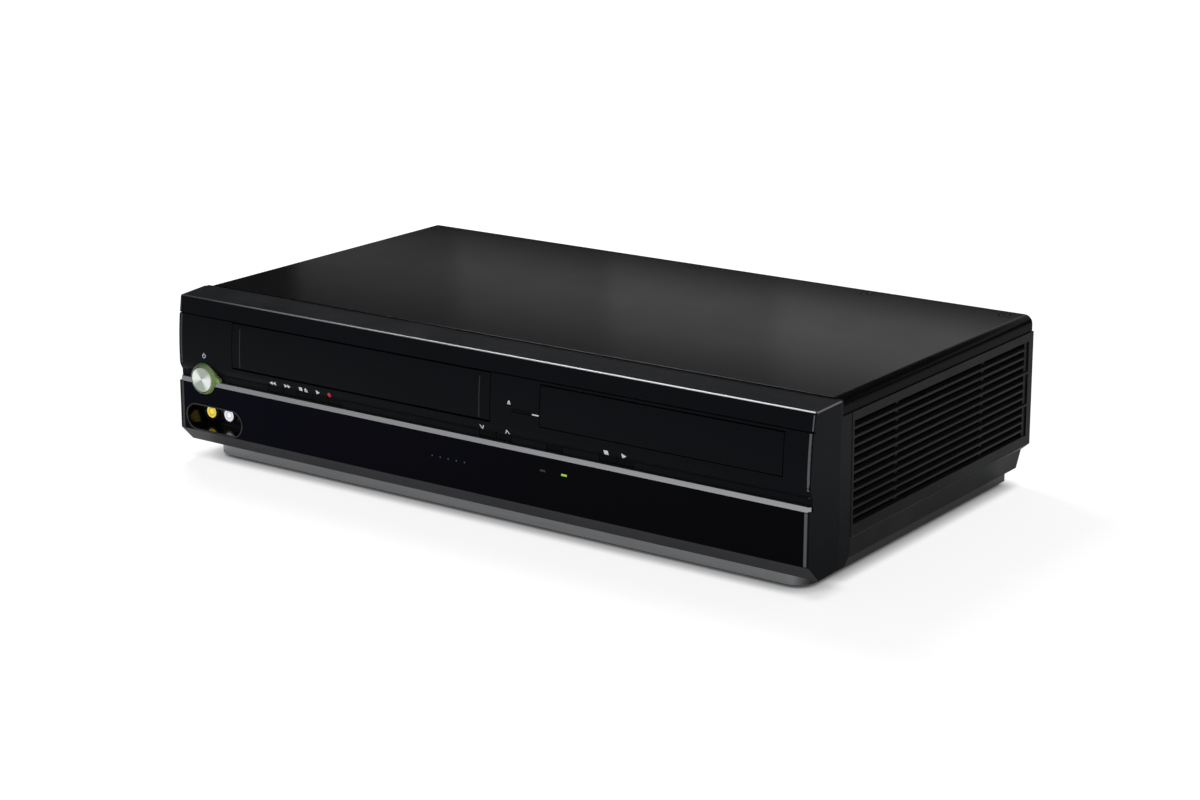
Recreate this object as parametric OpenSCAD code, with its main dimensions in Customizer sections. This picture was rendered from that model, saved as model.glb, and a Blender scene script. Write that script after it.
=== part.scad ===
// Disc player and cassette recorder in one case.
// X runs to the right, Y to the back and Z up. The origin is on the floor, under the middle of the whole
// object. The pieces are drawn from the front lip, which is at Y = 0, and place() then centres them.

/* [Case] */
// Width over the side walls of the tub
case_w = 434.2; // [430:0.2:450]
// Height from the floor to the top of the cover
case_h = 99.5; // [99.5:0.5:112]
// Depth from the front lip to the rear edge of the tub
case_d = 229.5; // [229.5:0.5:250]
// Wall of the moulded tub and front
wall = 2.2; // [1.8:0.1:2.4]
// Thickness of the cover's sheet
sheet = 1.0; // [0.8:0.1:1.2]
// Height of the cover's side band
band_h = 8.7; // [7:0.1:10]
// Radius of the cover's long top edges
cover_r = 5; // [3:0.5:6]
// Height of the rubber feet
foot_h = 2.0; // [1.5:0.1:3]
// Radius of the rubber feet
foot_r = 11; // [8:0.5:14]
// Height of the base pan
pan_h = 7.3; // [7:0.1:9]
// How far the base pan is set in from the tub's sides
pan_inset = 12.1; // [10.5:0.1:17]
// Y of the base pan's front wall behind the front lip
pan_y = 10.5; // [9:0.5:15]
// Radius of the base pan's front corners
pan_r = 12; // [6:0.5:16]
// Thickness of the rear panel
rear_sheet = 1.2; // [0.8:0.1:1.5]
// Radius of the cover screws' heads
screw_head_r = 3.0; // [2.5:0.1:3.2]

/* [Side louvres] */
// Distance from one slat to the next
louvre_pitch = 4.66; // [4.4:0.02:4.7]
// Thickness of a slat
slat_t = 1.3; // [1:0.1:1.8]
// Height of the lowest slot's lower edge
louvre_z = 31.1; // [30:0.1:33]
// From the tub's front edge to the slots' front ends
louvre_front = 1.8; // [1.6:0.1:6]
// From the slots' rear ends to the tub's rear edge
louvre_rear = 9.2; // [8.4:0.1:60]

/* [Front] */
// Y at which the cover begins behind the front lip
deck_y = 24; // [23:0.5:26]
// How far the ends of the front's face are set in from the tub's sides
face_inset = 1.5; // [1.1:0.1:3]
// How far the end caps stand outside the tub's walls
cap_step = 0.2; // [0.1:0.1:0.5]
// Radius of the lip
lip_r = 1.2; // [0.8:0.1:1.4]
// Height of the groove below the top cap
groove_h = 0.7; // [0.5:0.1:1]
// Height of the window above the floor
window_z = 19.3; // [18.5:0.1:20]
// Thickness of the window
window_t = 2.0; // [1.5:0.1:2.2]
// How far the window's ends are set in from the ends of the face
window_inset = 1.1; // [1.1:0.1:5]
// Height of the silver strip
strip_h = 2.5; // [2.2:0.1:3.2]
// Gap round the flap, the tray front and the keys
gap = 0.5; // [0.3:0.1:0.6]

/* [Keys] */
// Width of a key
key_w = 10.4; // [8:0.2:10.6]
// Height of a key
key_h = 3.5; // [3:0.1:3.8]
// Travel of a key
key_travel = 1.0; // [0.6:0.1:1]
// Radius of the power key's disc
power_r = 7.6; // [7:0.1:8.4]
// Travel of the power key
power_travel = 1.5; // [1:0.1:1.5]
// Width of the jack recess's rim
recess_w = 45.3; // [44:0.1:46]
// Height of the jack recess's rim
recess_h = 16.6; // [15:0.1:17]

/* [Cassette side] */
// From the tub's left side to the cassette bay's centre
bay_side = 138.1; // [136.1:0.5:139.1]
// Width of a cassette, with its clearance in the basket
bay_w = 188.5; // [188:0.1:189]
// Height of a cassette
cassette_h = 25; // [24.8:0.1:25.2]
// How far the basket moves back
draw_in = 51; // [40:1:51]
// How far the basket sinks
drop_in = 25.5; // [20:0.5:25.5]
// Top of the deck plate above the floor
deck_z = 32; // [31.5:0.1:32.2]
// Thickness of the deck plate
deck_t = 1.6; // [1.2:0.1:2]
// Radius of the drum
drum_r = 31; // [30:0.1:31.2]
// Distance between the two reel tables
reel_span = 92; // [90:0.5:94]
// Radius of the flywheel
flywheel_r = 24; // [20:0.5:25]

/* [Disc side] */
// From the tub's right side to the disc loader's centre
loader_side = 93.1; // [92.6:0.5:95.1]
// Width of the tray's front
tray_front_w = 150.1; // [148:0.1:150.5]
// Height of the tray's front
tray_front_h = 22; // [20.8:0.1:22.4]
// Width of the tray
tray_w = 134; // [130:0.5:135]
// Thickness of the tray
tray_t = 3.5; // [3:0.1:3.6]
// How far the tray runs out
tray_travel = 138; // [110:1:139]
// Radius of the recess for a 120 mm disc
disc_r = 60.6; // [60.4:0.1:61]
// Y of the disc's centre with the tray shut
disc_y = 74; // [73:0.5:75]
// Radius of the turntable
table_r = 14; // [12:0.5:14.5]
// Radius of the hub that takes a 15 mm disc hole
hub_r = 7.45; // [7.4:0.01:7.48]

/* [Rear] */
// Radius of a phono socket's sleeve
phono_r = 4.15; // [4.1:0.05:4.2]
// Length of a phono socket behind the rear panel
phono_len = 9.8; // [8:0.1:10.5]
// Distance between phono sockets
phono_pitch = 14; // [13:0.5:15]
// Radius of an aerial socket's thread
aerial_r = 4.7; // [4.6:0.05:4.8]
// Radius of the mains lead's hole in its gland
cord_r = 3.4; // [3:0.1:3.6]

/* [Hidden] */
$fn = 64;

// Fits
seat = 0.3;             // between pieces of different bodies that rest on each other
run = 0.04;             // radial play of a running pin
eps = 0.01;
shy = 0.98;             // share of a round end's radius at which the straight sides run

// Heights of the case
floor_z = foot_h + pan_h;
tub_in = floor_z + wall;
bezel_z = floor_z + 0.7;
cover_low = case_h - band_h;
cover_in = case_h - sheet;
tub_half = case_w / 2;
cap_half = tub_half + cap_step;
front_half = tub_half - face_inset;
window_w = 2 * (front_half - window_inset);
pan_w = case_w - 2 * pan_inset;
bay_x = bay_side - tub_half;
tray_x = tub_half - loader_side;
cover_half = tub_half - 0.7;
tongue_half = cover_half - sheet - 0.4;
rear_reach = case_d - 1.8 + phono_len;
power_face = -6.3;
middle_y = (rear_reach + power_face) / 2;
post_y = deck_y + 9.1;   // rear edge of the front's end posts
tub_y = post_y + 0.2;
louvre_len = case_d - louvre_rear - tub_y - louvre_front;
louvre_n = floor((cover_low - 3.3 - louvre_z) / louvre_pitch);

// Lines of the front face, as Y at a height
groove_z = case_h - 11.2;
nose_z = case_h - 39.8;
nose_y = -3.5;
panel_r = 201.4;
cove_r = 9;
cove_y = -1.6;
strip_top = nose_z - 9.4;
strip_z = strip_top - strip_h;
flap_z = groove_z - groove_h - 26.1;
tray_top = groove_z - groove_h - 2;
strip_top_y = -3.3;
strip_low_y = -4.35;
sill_y = -4.9;
lip_low_y = 4.2;
front_ceiling = case_h - 2.9;
cap_low_y = -1.3;
groove_y = -0.3;

// Keys: centres in X, and the band that they lie in
cassette_keys_x = [for (i = [0:4]) bay_x - 63.2 + 11.4 * i];
tracking_x = [bay_x + 91.1, bay_x + 102.5];
source_x = tray_x - 66.7;
disc_keys_x = [tray_x - 32.4, tray_x - 21];
key_z = strip_top + 1;
flange_y = cove_y + wall + 0.1;   // inner face of the wall round the keys
board_y = 12;            // front of the key board
switch_t = 3.6;
open_key_x = tray_x - 87.4;
open_key_z = flap_z + 8;
open_key_w = 12;
open_key_h = 1.8;
power_x = 19.1 - front_half;
power_z = strip_top + 0.8;
ring_r = power_r + 1.8;
recess_x = 27 - front_half;
recess_z = window_z + 8.4;
recess_y = 10;           // back of the jack recess
jack_pitch = 14;

// Cassette side, measured from the bay's centre
bay_half = bay_w / 2;
side_t = 1.2;
basket_y = 38.5;
basket_stop = 80;
basket_z = flap_z - 0.7;
basket_top = basket_z + side_t + cassette_h + 0.6;
slider_x = bay_half + side_t + 0.45;
slider_t = 2;
guide_x = slider_x + slider_t + 0.4;
guide_t = 1.6;
boss_r = 1.9;
boss_y = [47, 71];
lift_z = flap_z + 18.5;
rail_z = flap_z + 24.5;
slider_top = flap_z + 30.5;
flap_hinge_y = 3.9;
flap_hinge_z = flap_z + 33.1;
flap_w = 188.7;
flap_h = 25.6;
drum_y = 176;
drum_z = 36;
drum_low_h = 11.7;
drum_up_h = 12;
reel_y = 73;
capstan_x = 66;
capstan_y = 122;
clutch_y = 80;
clutch_r = 14;
belt_z = 19.4;
pinch_x = 86;
pinch_y = 146;
pinch_len = 25;
pinch_rest = 172.4;
roller_r = 7;
post_path = [8, -46];    // from the drum back to the cassette's mouth
post_in = [44, 158];
cam_x = -80;
cam_teeth = 48;
cam_m = 0.8;

// Disc side, measured from the loader's centre
frame_half = tray_w / 2 + 4;
loader_ears_y = [42, 184];
tray_z = groove_z - 18.3;
tray_y = 1;
tray_len = tray_travel + 37;
slot_half = 17;
rack_x = -60;
gear_m = 1;
rack_teeth = 24;
pinion_teeth = 16;
rack_gear_x = rack_x + 4 + gear_m * rack_teeth / 2;
pulley_x = rack_gear_x + gear_m * (rack_teeth + pinion_teeth) / 2;
gear_y = board_y + 18;
pulley_r = 14;
motor_x = 14;
motor_pulley_r = 4;
frame_z = tray_z - 18;
pulley_z = frame_z + 4;
frame_t = 2.5;
traverse_z = frame_z + 3;
traverse_y = 156;
hinge_z = traverse_z + 1.6;
hinge_r = 1.8;
rod_x = 21;
rod_z = traverse_z + 5;
rod_r = 1.5;
table_z = traverse_z + 7.2;
bridge_z = tray_z + 8.5;
clamp_r = 12;

// Rear
panel_y = case_d - 3;
cord_x = tub_half - 17.1;
cord_z = 40;
phono_x = tray_x - 52;
phono_z = 31;
aerial_x = tray_x + 26;
screw_x = [9.4 - cover_half, -4.5, tray_x - 9.5, cover_half - 13.4];
screw_y = case_d - 8.5;
flange_z = cover_in - 1.0;
board_z = 18;
board_t = 1.6;

// ---- shared shapes ----

module place() { translate([0, -middle_y, 0]) children(); }

module in_bay() { place() translate([bay_x, 0, 0]) children(); }

module in_loader() { place() translate([tray_x, 0, 0]) children(); }

module block(x0, x1, y0, y1, z0, z1) {
    translate([x0, y0, z0]) cube([x1 - x0, y1 - y0, z1 - z0]);
}

// A drawing in (Y, Z), drawn out along X
module along_x(x0, x1) {
    translate([x0, 0, 0]) rotate([90, 0, 90]) linear_extrude(height = x1 - x0) children();
}

// A drawing in (X, Z), drawn out along Y
module along_y(y0, y1) {
    translate([0, y1, 0]) rotate([90, 0, 0]) linear_extrude(height = y1 - y0) children();
}

module rod_along_x(y, z, x0, x1, r) {
    translate([x0, y, z]) rotate([0, 90, 0]) cylinder(r = r, h = x1 - x0);
}

module rod_along_y(x, z, y0, y1, r) {
    translate([x, y0, z]) rotate([-90, 0, 0]) cylinder(r = r, h = y1 - y0);
}

module rod(x, y, z0, z1, r) { translate([x, y, z0]) cylinder(r = r, h = z1 - z0); }

module both_sides() {
    children();
    mirror([1, 0, 0]) children();
}

// A slot with round ends, w by h overall, lying along X
module stadium(w, h) {
    square([w - h, h], center = true);
    for (side = [-1, 1]) translate([side * (w - h) / 2, 0]) circle(r = h / 2);
}

// A slot with round ends between two points; its sides run a hair inside the ends
module track(a, b, r) {
    way = b - a;
    side = shy * r;
    translate(a) circle(r = r);
    translate(b) circle(r = r);
    translate(a) rotate(atan2(way[1], way[0])) translate([0, -side]) square([norm(way), 2 * side]);
}

// The outline round two circles on the X axis, with straight runs a hair inside their outer tangents
module belt_outline(x1, r1, x2, r2) {
    lean = asin((r1 - r2) / (x2 - x1));
    across = shy * cos(lean);
    along = shy * sin(lean);
    translate([x1, 0]) circle(r = r1);
    translate([x2, 0]) circle(r = r2);
    polygon([[x1 + r1 * along, r1 * across], [x2 + r2 * along, r2 * across],
        [x2 + r2 * along, -r2 * across], [x1 + r1 * along, -r1 * across]]);
}

// A flat belt round two pulleys
module belt(x1, r1, x2, r2, t, h) {
    linear_extrude(height = h) difference() {
        belt_outline(x1, r1 + seat + t, x2, r2 + seat + t);
        belt_outline(x1, r1 + seat, x2, r2 + seat);
    }
}

// Outline of a spur gear with a tooth on the X axis; the teeth are thinned for backlash
module gear_outline(teeth, m) {
    pitch_r = teeth * m / 2;
    root_r = pitch_r - 1.2 * m;
    tip_r = pitch_r + 0.85 * m;
    step = 360 / teeth;
    polygon([for (i = [0:teeth - 1]) each [
        for (p = [[root_r, -0.33], [pitch_r, -0.21], [tip_r, -0.1], [tip_r, 0.1], [pitch_r, 0.21],
            [root_r, 0.33]]) p[0] * [cos((i + p[1]) * step), sin((i + p[1]) * step)]]]);
}

module gear(teeth, m, h) { linear_extrude(height = h) gear_outline(teeth, m); }

function arc(cy, cz, r, a0, a1, n) =
    [for (i = [0:n]) let (a = a0 + (a1 - a0) * i / n) [cy + r * cos(a), cz + r * sin(a)]];

// ---- front face ----

bulge_a = asin((groove_z - groove_h - nose_z) / panel_r);
cove_a = acos((cove_r + nose_y - cove_y) / cove_r);

face_line = concat(
    [[deck_y, case_h - 0.5]],
    arc(lip_r + 0.1, case_h - 1.6 - lip_r, lip_r, 85, 180, 6),
    [[cap_low_y, groove_z], [groove_y, groove_z], [groove_y, groove_z - groove_h]],
    arc(nose_y + panel_r, nose_z, panel_r, 180 - bulge_a, 180, 8),
    arc(nose_y + cove_r, nose_z, cove_r, 180, 180 + cove_a, 6),
    [[cove_y, strip_top], [strip_top_y, strip_top], [strip_low_y, strip_z], [sill_y, window_z],
    [lip_low_y, bezel_z], [post_y - 6, bezel_z], [post_y - 1.1, bezel_z + 5.1],
    [post_y, bezel_z + 7.4], [post_y, cover_low - 0.3], [deck_y, cover_low - 0.3]]);

// The whole front as a solid, before it is hollowed
module front_blank() {
    step_y = deck_y - 2.4;
    intersection() {
        along_x(-cap_half - 1, cap_half + 1) polygon(face_line);
        linear_extrude(height = case_h) polygon([[-front_half, -8], [front_half, -8], [cap_half, step_y],
            [cap_half - 0.4, step_y], [cap_half - 0.4, post_y + 1], [-cap_half + 0.4, post_y + 1],
            [-cap_half + 0.4, step_y], [-cap_half, step_y]]);
        along_y(-9, post_y + 1) end_outline(cap_half + 1, bezel_z + 2.6, cap_half - 1.2, bezel_z - 0.1);
    }
}

// Full height, with the lower corners cut
module end_outline(half, corner_z, low_half, low_z) {
    polygon([[-half, case_h], [-half, corner_z], [-low_half, low_z], [low_half, low_z], [half, corner_z],
        [half, case_h]]);
}

// The hollow behind the front's wall
module front_hollow() {
    half = front_half - wall;
    intersection() {
        along_x(-half, half) polygon([[post_y + 1, front_ceiling], [lip_r + wall - 1, front_ceiling],
            [groove_y + wall - 1, groove_z - groove_h], [nose_y + wall, nose_z + 4.3],
            [nose_y + wall, nose_z - 1.2], [flange_y, nose_z - 5.7], [flange_y, strip_z],
            [strip_low_y + window_t + 1.5, strip_z - 3],
            [sill_y + window_t + 1.6, window_z], [lip_low_y + wall, bezel_z + wall],
            [post_y + 1, bezel_z + wall]]);
        along_y(-9, post_y + 2) end_outline(half, window_z + 6, half - 5.5, bezel_z + wall);
    }
}

module power_seat() {
    rod_along_y(power_x, power_z, -10, -1.3, ring_r + 0.1);
}

module recess_outline(grow) {
    translate([recess_x, recess_z]) stadium(recess_w + 2 * grow, recess_h + 2 * grow);
}

module front_bezel() color("#16171b") place() {
    difference() {
        union() {
            difference() {
                front_blank();
                front_hollow();
            }
            // Ledge that the cover's front edge lies on
            block(-cover_half + cover_r, cover_half - cover_r, deck_y - 1, deck_y + 6, case_h - 3.4,
                cover_in - seat);
            translate([bay_x, 0, 0]) flap_brackets();
            // Boss behind the power key
            intersection() {
                rod_along_y(power_x, power_z, -1.3, 2.2, ring_r + 2.7);
                block(-case_w, case_w, -1.3, 3, strip_z - 8, nose_z + 10.3);
            }
            // Posts for the key board
            for (x = [bay_x - 71, bay_x + 19, tray_x - 78, tray_x + 26])
                rod_along_y(x, strip_z - 1.7, cove_y + 0.1, board_y, 2.5);
        }
        // Pockets for the window and the strip
        intersection() {
            along_x(-window_w / 2 - 0.1, window_w / 2 + 0.1) polygon([[-9, strip_z],
                [strip_low_y + window_t + 0.05, strip_z], [sill_y + window_t + 0.05, window_z - 0.05],
                [-9, window_z - 0.05]]);
            block(-case_w, case_w, -9, 0, 0, case_h);
        }
        block(-case_w, case_w, -9, cove_y, strip_z - eps, strip_top);
        // Openings for the flap and the tray
        block(bay_x - flap_w / 2 - gap, bay_x + flap_w / 2 + gap, -9, flap_hinge_y + 1,
            flap_z - 1.1, groove_z - groove_h);
        block(tray_x - tray_front_w / 2 - gap, tray_x + tray_front_w / 2 + gap, -9, 5,
            tray_top - tray_front_h - gap, tray_top + 0.8);
        // Key slots
        for (x = concat(cassette_keys_x, tracking_x, [source_x], disc_keys_x)) key_slot(x);
        block(open_key_x - open_key_w / 2 - 0.2, open_key_x + open_key_w / 2 + 0.2, -9, 3,
            open_key_z - open_key_h / 2 - 0.2, open_key_z + open_key_h / 2 + 0.2);
        // Power key and jack recess
        power_seat();
        rod_along_y(power_x, power_z, -4, 4, 3.8);
        along_y(-9, 2) recess_outline(0.1);
    }
}

module key_slot(x) {
    block(x - key_w / 2 - 0.3, x + key_w / 2 + 0.3, -9, flange_y + eps, key_z - 0.3, key_z + key_h + 0.3);
}

module display_window() color("#07080c") place() difference() {
    along_x(-window_w / 2, window_w / 2) polygon([[strip_low_y, strip_z - 0.05],
        [strip_low_y + window_t, strip_z - 0.05], [sill_y + window_t, window_z], [sill_y, window_z]]);
    power_seat();
    along_y(-9, 3) recess_outline(0.1);
}

module trim_strip() color("#a9adb2") place() difference() {
    along_x(-front_half + 0.2, front_half - 0.2) polygon([[strip_top_y, strip_top],
        [cove_y - 0.05, strip_top], [cove_y - 0.05, strip_z], [strip_low_y - 0.05, strip_z]]);
    power_seat();
    // The ends are bevelled
    both_sides() translate([front_half - 1.8, strip_low_y - 1, 0]) rotate([0, 0, -30]) cube([4, 4, case_h]);
}

module jack_cup() color("#101114") place() difference() {
    along_y(strip_low_y - 0.75, recess_y) recess_outline(0);
    along_y(strip_low_y - 2, recess_y - 1.2) recess_outline(-1.15);
    for (i = [-1:1]) rod_along_y(recess_x + i * jack_pitch, recess_z, 0, recess_y + 1, 4.15);
}

// A phono socket along Y, its mouth facing the front at y
module phono_socket(y, len, r) {
    difference() {
        rod_along_y(0, 0, y, y + len, r);
        rod_along_y(0, 0, y - 1, y + 7, 1.6);
        translate([0, y - 1, 0]) rotate([-90, 0, 0]) difference() {
            cylinder(r = 3.5, h = 1.8);
            cylinder(r = 2.3, h = 1.8);
        }
    }
}

module front_sockets() color("#d8c13a") place() {
    for (i = [-1:1]) translate([recess_x + i * jack_pitch, 0, recess_z]) phono_socket(recess_y - 3, 9, 4.1);
    block(recess_x - 20, recess_x + 20, recess_y + 6, recess_y + 7.6, recess_z - 7, recess_z + 7);
}

module power_button() color("#d9e2d8") place() {
    rod_along_y(power_x, power_z, power_face, -3.0, power_r);
    rod_along_y(power_x, power_z, -3.1, board_y - switch_t - power_travel - 0.4, 3.3);
    rod_along_y(power_x, power_z, 2.2 + seat + 0.1, 3.6, 4.8);
}

module power_ring() color("#7fa25f") place() {
    difference() {
        union() {
            translate([power_x, -1.3, power_z]) rotate([90, 0, 0]) rotate_extrude()
                polygon([[power_r + 0.3, 0], [ring_r, 0], [ring_r, 2.6], [power_r + 0.8, 4.5],
                    [power_r + 0.3, 4.5]]);
            // Lens that points to the right
            intersection() {
                translate([power_x + power_r, -3.9, power_z]) rotate([-90, 0, 0]) linear_extrude(height = 2.2)
                    polygon([[0, -3.6], [4.3, -1.3], [4.9, -0.5], [4.9, 0.5], [4.3, 1.2], [0, 2.3]]);
                block(power_x, power_x + 20, -9, cove_y - 0.05, strip_top + 0.05, nose_z + 0.3);
            }
        }
        rod_along_y(power_x, power_z, -9, 3, power_r + 0.3);
    }
}

// One key of the row below the panel
module row_key(x) color("#0c0c0e") place() {
    block(x - key_w / 2, x + key_w / 2, cove_y + 0.2, flange_y + seat + 0.1, key_z, key_z + key_h);
    block(x - key_w / 2 - 0.4, x + key_w / 2 + 0.4, flange_y + seat, flange_y + seat + 1.2,
        key_z - 0.8, key_z + key_h + 0.8);
    block(x - 1.5, x + 1.5, flange_y + seat + 1.1, board_y - switch_t - key_travel - 0.3,
        key_z + 0.3, key_z + key_h - 0.3);
}

module key_rewind() row_key(cassette_keys_x[0]);
module key_forward() row_key(cassette_keys_x[1]);
module key_stop_eject() row_key(cassette_keys_x[2]);
module key_play() row_key(cassette_keys_x[3]);
module key_record() row_key(cassette_keys_x[4]);
module key_tracking_down() row_key(tracking_x[0]);
module key_tracking_up() row_key(tracking_x[1]);
module key_source() row_key(source_x);
module key_disc_stop() row_key(disc_keys_x[0]);
module key_disc_play() row_key(disc_keys_x[1]);

module key_open_close() color("#0c0c0e") place() {
    x = open_key_x;
    z = open_key_z;
    block(x - open_key_w / 2, x + open_key_w / 2, -3.0, 0.2, z - open_key_h / 2, z + open_key_h / 2);
    block(x - open_key_w / 2 - 1, x + open_key_w / 2 + 1, -0.4, 0.8, z - 1.8, z + 1.8);
    block(x - 1.5, x + 1.5, 0.7, board_y - switch_t - key_travel - 0.3, z - 1.2, z + 1.2);
}

// ---- case ----

// Outline of the tub's side, as half-width at a height, d inside the outer face
function tub_side(d) = [[tub_half - 7.8 - d, floor_z], [tub_half - 5.1 - d, 20.8], [tub_half - d, 25.2],
    [tub_half - d, cover_low - 0.3]];

function mirrored(points) = [for (i = [len(points) - 1:-1:0]) [-points[i][0], points[i][1]]];

module louvre_slots() {
    y1 = tub_y + louvre_front + louvre_len;
    for (i = [0:louvre_n - 1]) {
        z = louvre_z + i * louvre_pitch;
        along_y(tub_y + louvre_front, y1) polygon([[tub_half - wall - 0.1, z + 1.0], [tub_half + 0.1, z],
            [tub_half + 0.1, z + louvre_pitch - slat_t],
            [tub_half - wall - 0.1, z + louvre_pitch - slat_t + 1.0]]);
    }
    // The slats stop short of the rear frame, except every fourth one
    for (i = [0:4:louvre_n - 1]) {
        z = louvre_z + i * louvre_pitch;
        rows = min(4, louvre_n - i);
        block(tub_half - 0.8, tub_half + 1, y1 - eps, y1 + 4, z, z + rows * louvre_pitch - slat_t);
    }
}

module chassis_tub() color("#26272a") place() {
    difference() {
        along_y(tub_y, case_d) polygon(concat(tub_side(0), mirrored(tub_side(0))));
        along_y(tub_y - 1, case_d + 1) polygon(concat(
            [for (p = tub_side(wall)) [p[0], max(p[1], tub_in)]],
            [[tub_half - wall, case_h], [-tub_half + wall, case_h]],
            mirrored([for (p = tub_side(wall)) [p[0], max(p[1], tub_in)]])));
        both_sides() louvre_slots();
    }
    // Tongues that the cover slides over
    both_sides() block(tongue_half - 1.6, tongue_half, tub_y, panel_y - 0.2, cover_low - 3, cover_in - 2.8);
    both_sides() block(tongue_half - 1.6, tub_half - eps, tub_y, panel_y - 0.2, cover_low - 3,
        cover_low - 0.3);
    // Uprights that tie the slats
    for (y = [tub_y + louvre_front + louvre_len / 4, tub_y + louvre_front + louvre_len * 3 / 4]) both_sides()
        block(tub_half - wall - 2, tub_half - wall + eps, y - 1.5, y + 1.5, 26, cover_low - 2);
    // Posts under the deck plate, the loader and the boards
    for (p = deck_posts) rod(p[0], p[1], tub_in - eps, deck_z - deck_t, 4);
    for (p = loader_posts) rod(p[0], p[1], tub_in - eps, frame_z, 4.5);
    for (p = board_posts) rod(p[0], p[1], tub_in - eps, board_z, 3);
}

deck_posts = [for (x = [-104, 104], y = [48, 206]) [bay_x + x, y]];
loader_posts = [for (side = [-1, 1], y = loader_ears_y) [tray_x + side * (frame_half + 3.5), y]];
board_posts = [for (x = [-56, 56], y = [44, 118, 134, 200]) [tray_x + x, y]];

// The pan from above, with its front corners rounded
module pan_outline(inset) {
    half = pan_w / 2 - inset;
    r = pan_r - inset;
    rear = case_d - 5 - inset;
    translate([-half + r, pan_y + inset]) square([2 * (half - r), rear - pan_y - inset]);
    translate([-half, pan_y + inset + r]) square([2 * half, rear - pan_y - inset - r]);
    for (side = [-1, 1]) translate([side * (half - r), pan_y + inset + r]) circle(r = r);
}

module base_pan() color("#7d7f82") place() difference() {
    translate([0, 0, foot_h]) linear_extrude(height = pan_h) pan_outline(0);
    translate([0, 0, foot_h + sheet]) linear_extrude(height = pan_h) pan_outline(sheet);
}

module rubber_feet() color("#1b1b1b") place() both_sides() for (y = [pan_y + 20, case_d - 30])
    rod(pan_w / 2 - 25, y, 0, foot_h, foot_r);

module cover_outline(half, top, r) {
    intersection() {
        translate([-half, cover_low]) square([2 * half, top - cover_low]);
        union() {
            translate([-half, cover_low - r]) square([2 * half, top - cover_low]);
            translate([-half + r, cover_low]) square([2 * (half - r), top - cover_low]);
            for (side = [-1, 1]) translate([side * (half - r), top - r]) circle(r = r);
        }
    }
}

module top_cover() color("#2c2c2e") place() difference() {
    union() {
        difference() {
            along_y(deck_y + 0.3, case_d - 0.3) cover_outline(cover_half, case_h, cover_r);
            along_y(deck_y, case_d - 0.3 - sheet) translate([0, -eps]) cover_outline(cover_half - sheet,
                cover_in, cover_r - sheet);
            // Below the rear edge the cover is open for the rear panel
            block(-cover_half + cover_r, cover_half - cover_r, case_d - 3, case_d, cover_low - 1,
                cover_low + 3);
        }
        for (x = screw_x) rod(x, screw_y, cover_in - 0.7, cover_in + eps, screw_head_r + 1.6);
    }
    for (x = screw_x) rod(x, screw_y, case_h - 0.75, case_h + 1, screw_head_r + 0.5);
    for (x = screw_x) rod(x, screw_y, cover_in - 2, case_h, 1.8);
}

module rear_panel() color("#3a3b3d") place() difference() {
    union() {
        along_y(panel_y, panel_y + rear_sheet) polygon(concat(panel_side, mirrored(panel_side)));
        block(-tongue_half + 2.2, tongue_half - 2.2, panel_y - 12, panel_y + rear_sheet,
            flange_z - rear_sheet, flange_z);
    }
    for (x = screw_x) rod(x, screw_y, flange_z - 3, flange_z + 1, 1.5 + run);
    for (p = phono_places) rod_along_y(p[0], p[1], panel_y - 1, panel_y + 3, phono_r + 0.5);
    for (dx = aerials) rod_along_y(aerial_x + dx, cord_z, panel_y - 1, panel_y + 3, 5.4);
    rod_along_y(cord_x, cord_z, panel_y - 1, panel_y + 3, 6.1);
    // Cooling slots
    for (i = [0:11], z = [cover_low - 28.8, cover_low - 12.8]) translate([bay_x - 71 + i * 9, 0, 0])
        block(0, 4, panel_y - 1, panel_y + 3, z, z + 11);
}

// Outline of the rear panel, inside the tub and the cover
panel_side = concat([for (p = tub_side(wall + seat)) [p[0], min(max(p[1], tub_in), cover_low - 3)]],
    [[tongue_half - 2.2, cover_low - 3], [tongue_half - 2.2, flange_z]]);
phono_places = [for (i = [0:3], k = [0, 1]) [phono_x + i * phono_pitch, phono_z + k * phono_pitch]];
aerials = [-9, 9];

module case_screws() color("#1c1c1d") place() for (x = screw_x) {
    difference() {
        rod(x, screw_y, case_h - 0.75, case_h - 0.05, screw_head_r);
        for (a = [0, 90]) translate([x, screw_y, case_h]) rotate([0, 0, a])
            cube([3.4, 0.7, 0.8], center = true);
    }
    rod(x, screw_y, flange_z - 5, case_h - 0.7, 1.5);
}

module cord_gland() color("#151515") place() difference() {
    union() {
        rod_along_y(cord_x, cord_z, panel_y - 5, panel_y + 8, 6);
        rod_along_y(cord_x, cord_z, panel_y + rear_sheet, panel_y + rear_sheet + 2, 8);
        rod_along_y(cord_x, cord_z, panel_y - 2.5, panel_y, 8);
    }
    rod_along_y(cord_x, cord_z, panel_y - 6, panel_y + 9, cord_r);
}

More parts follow.
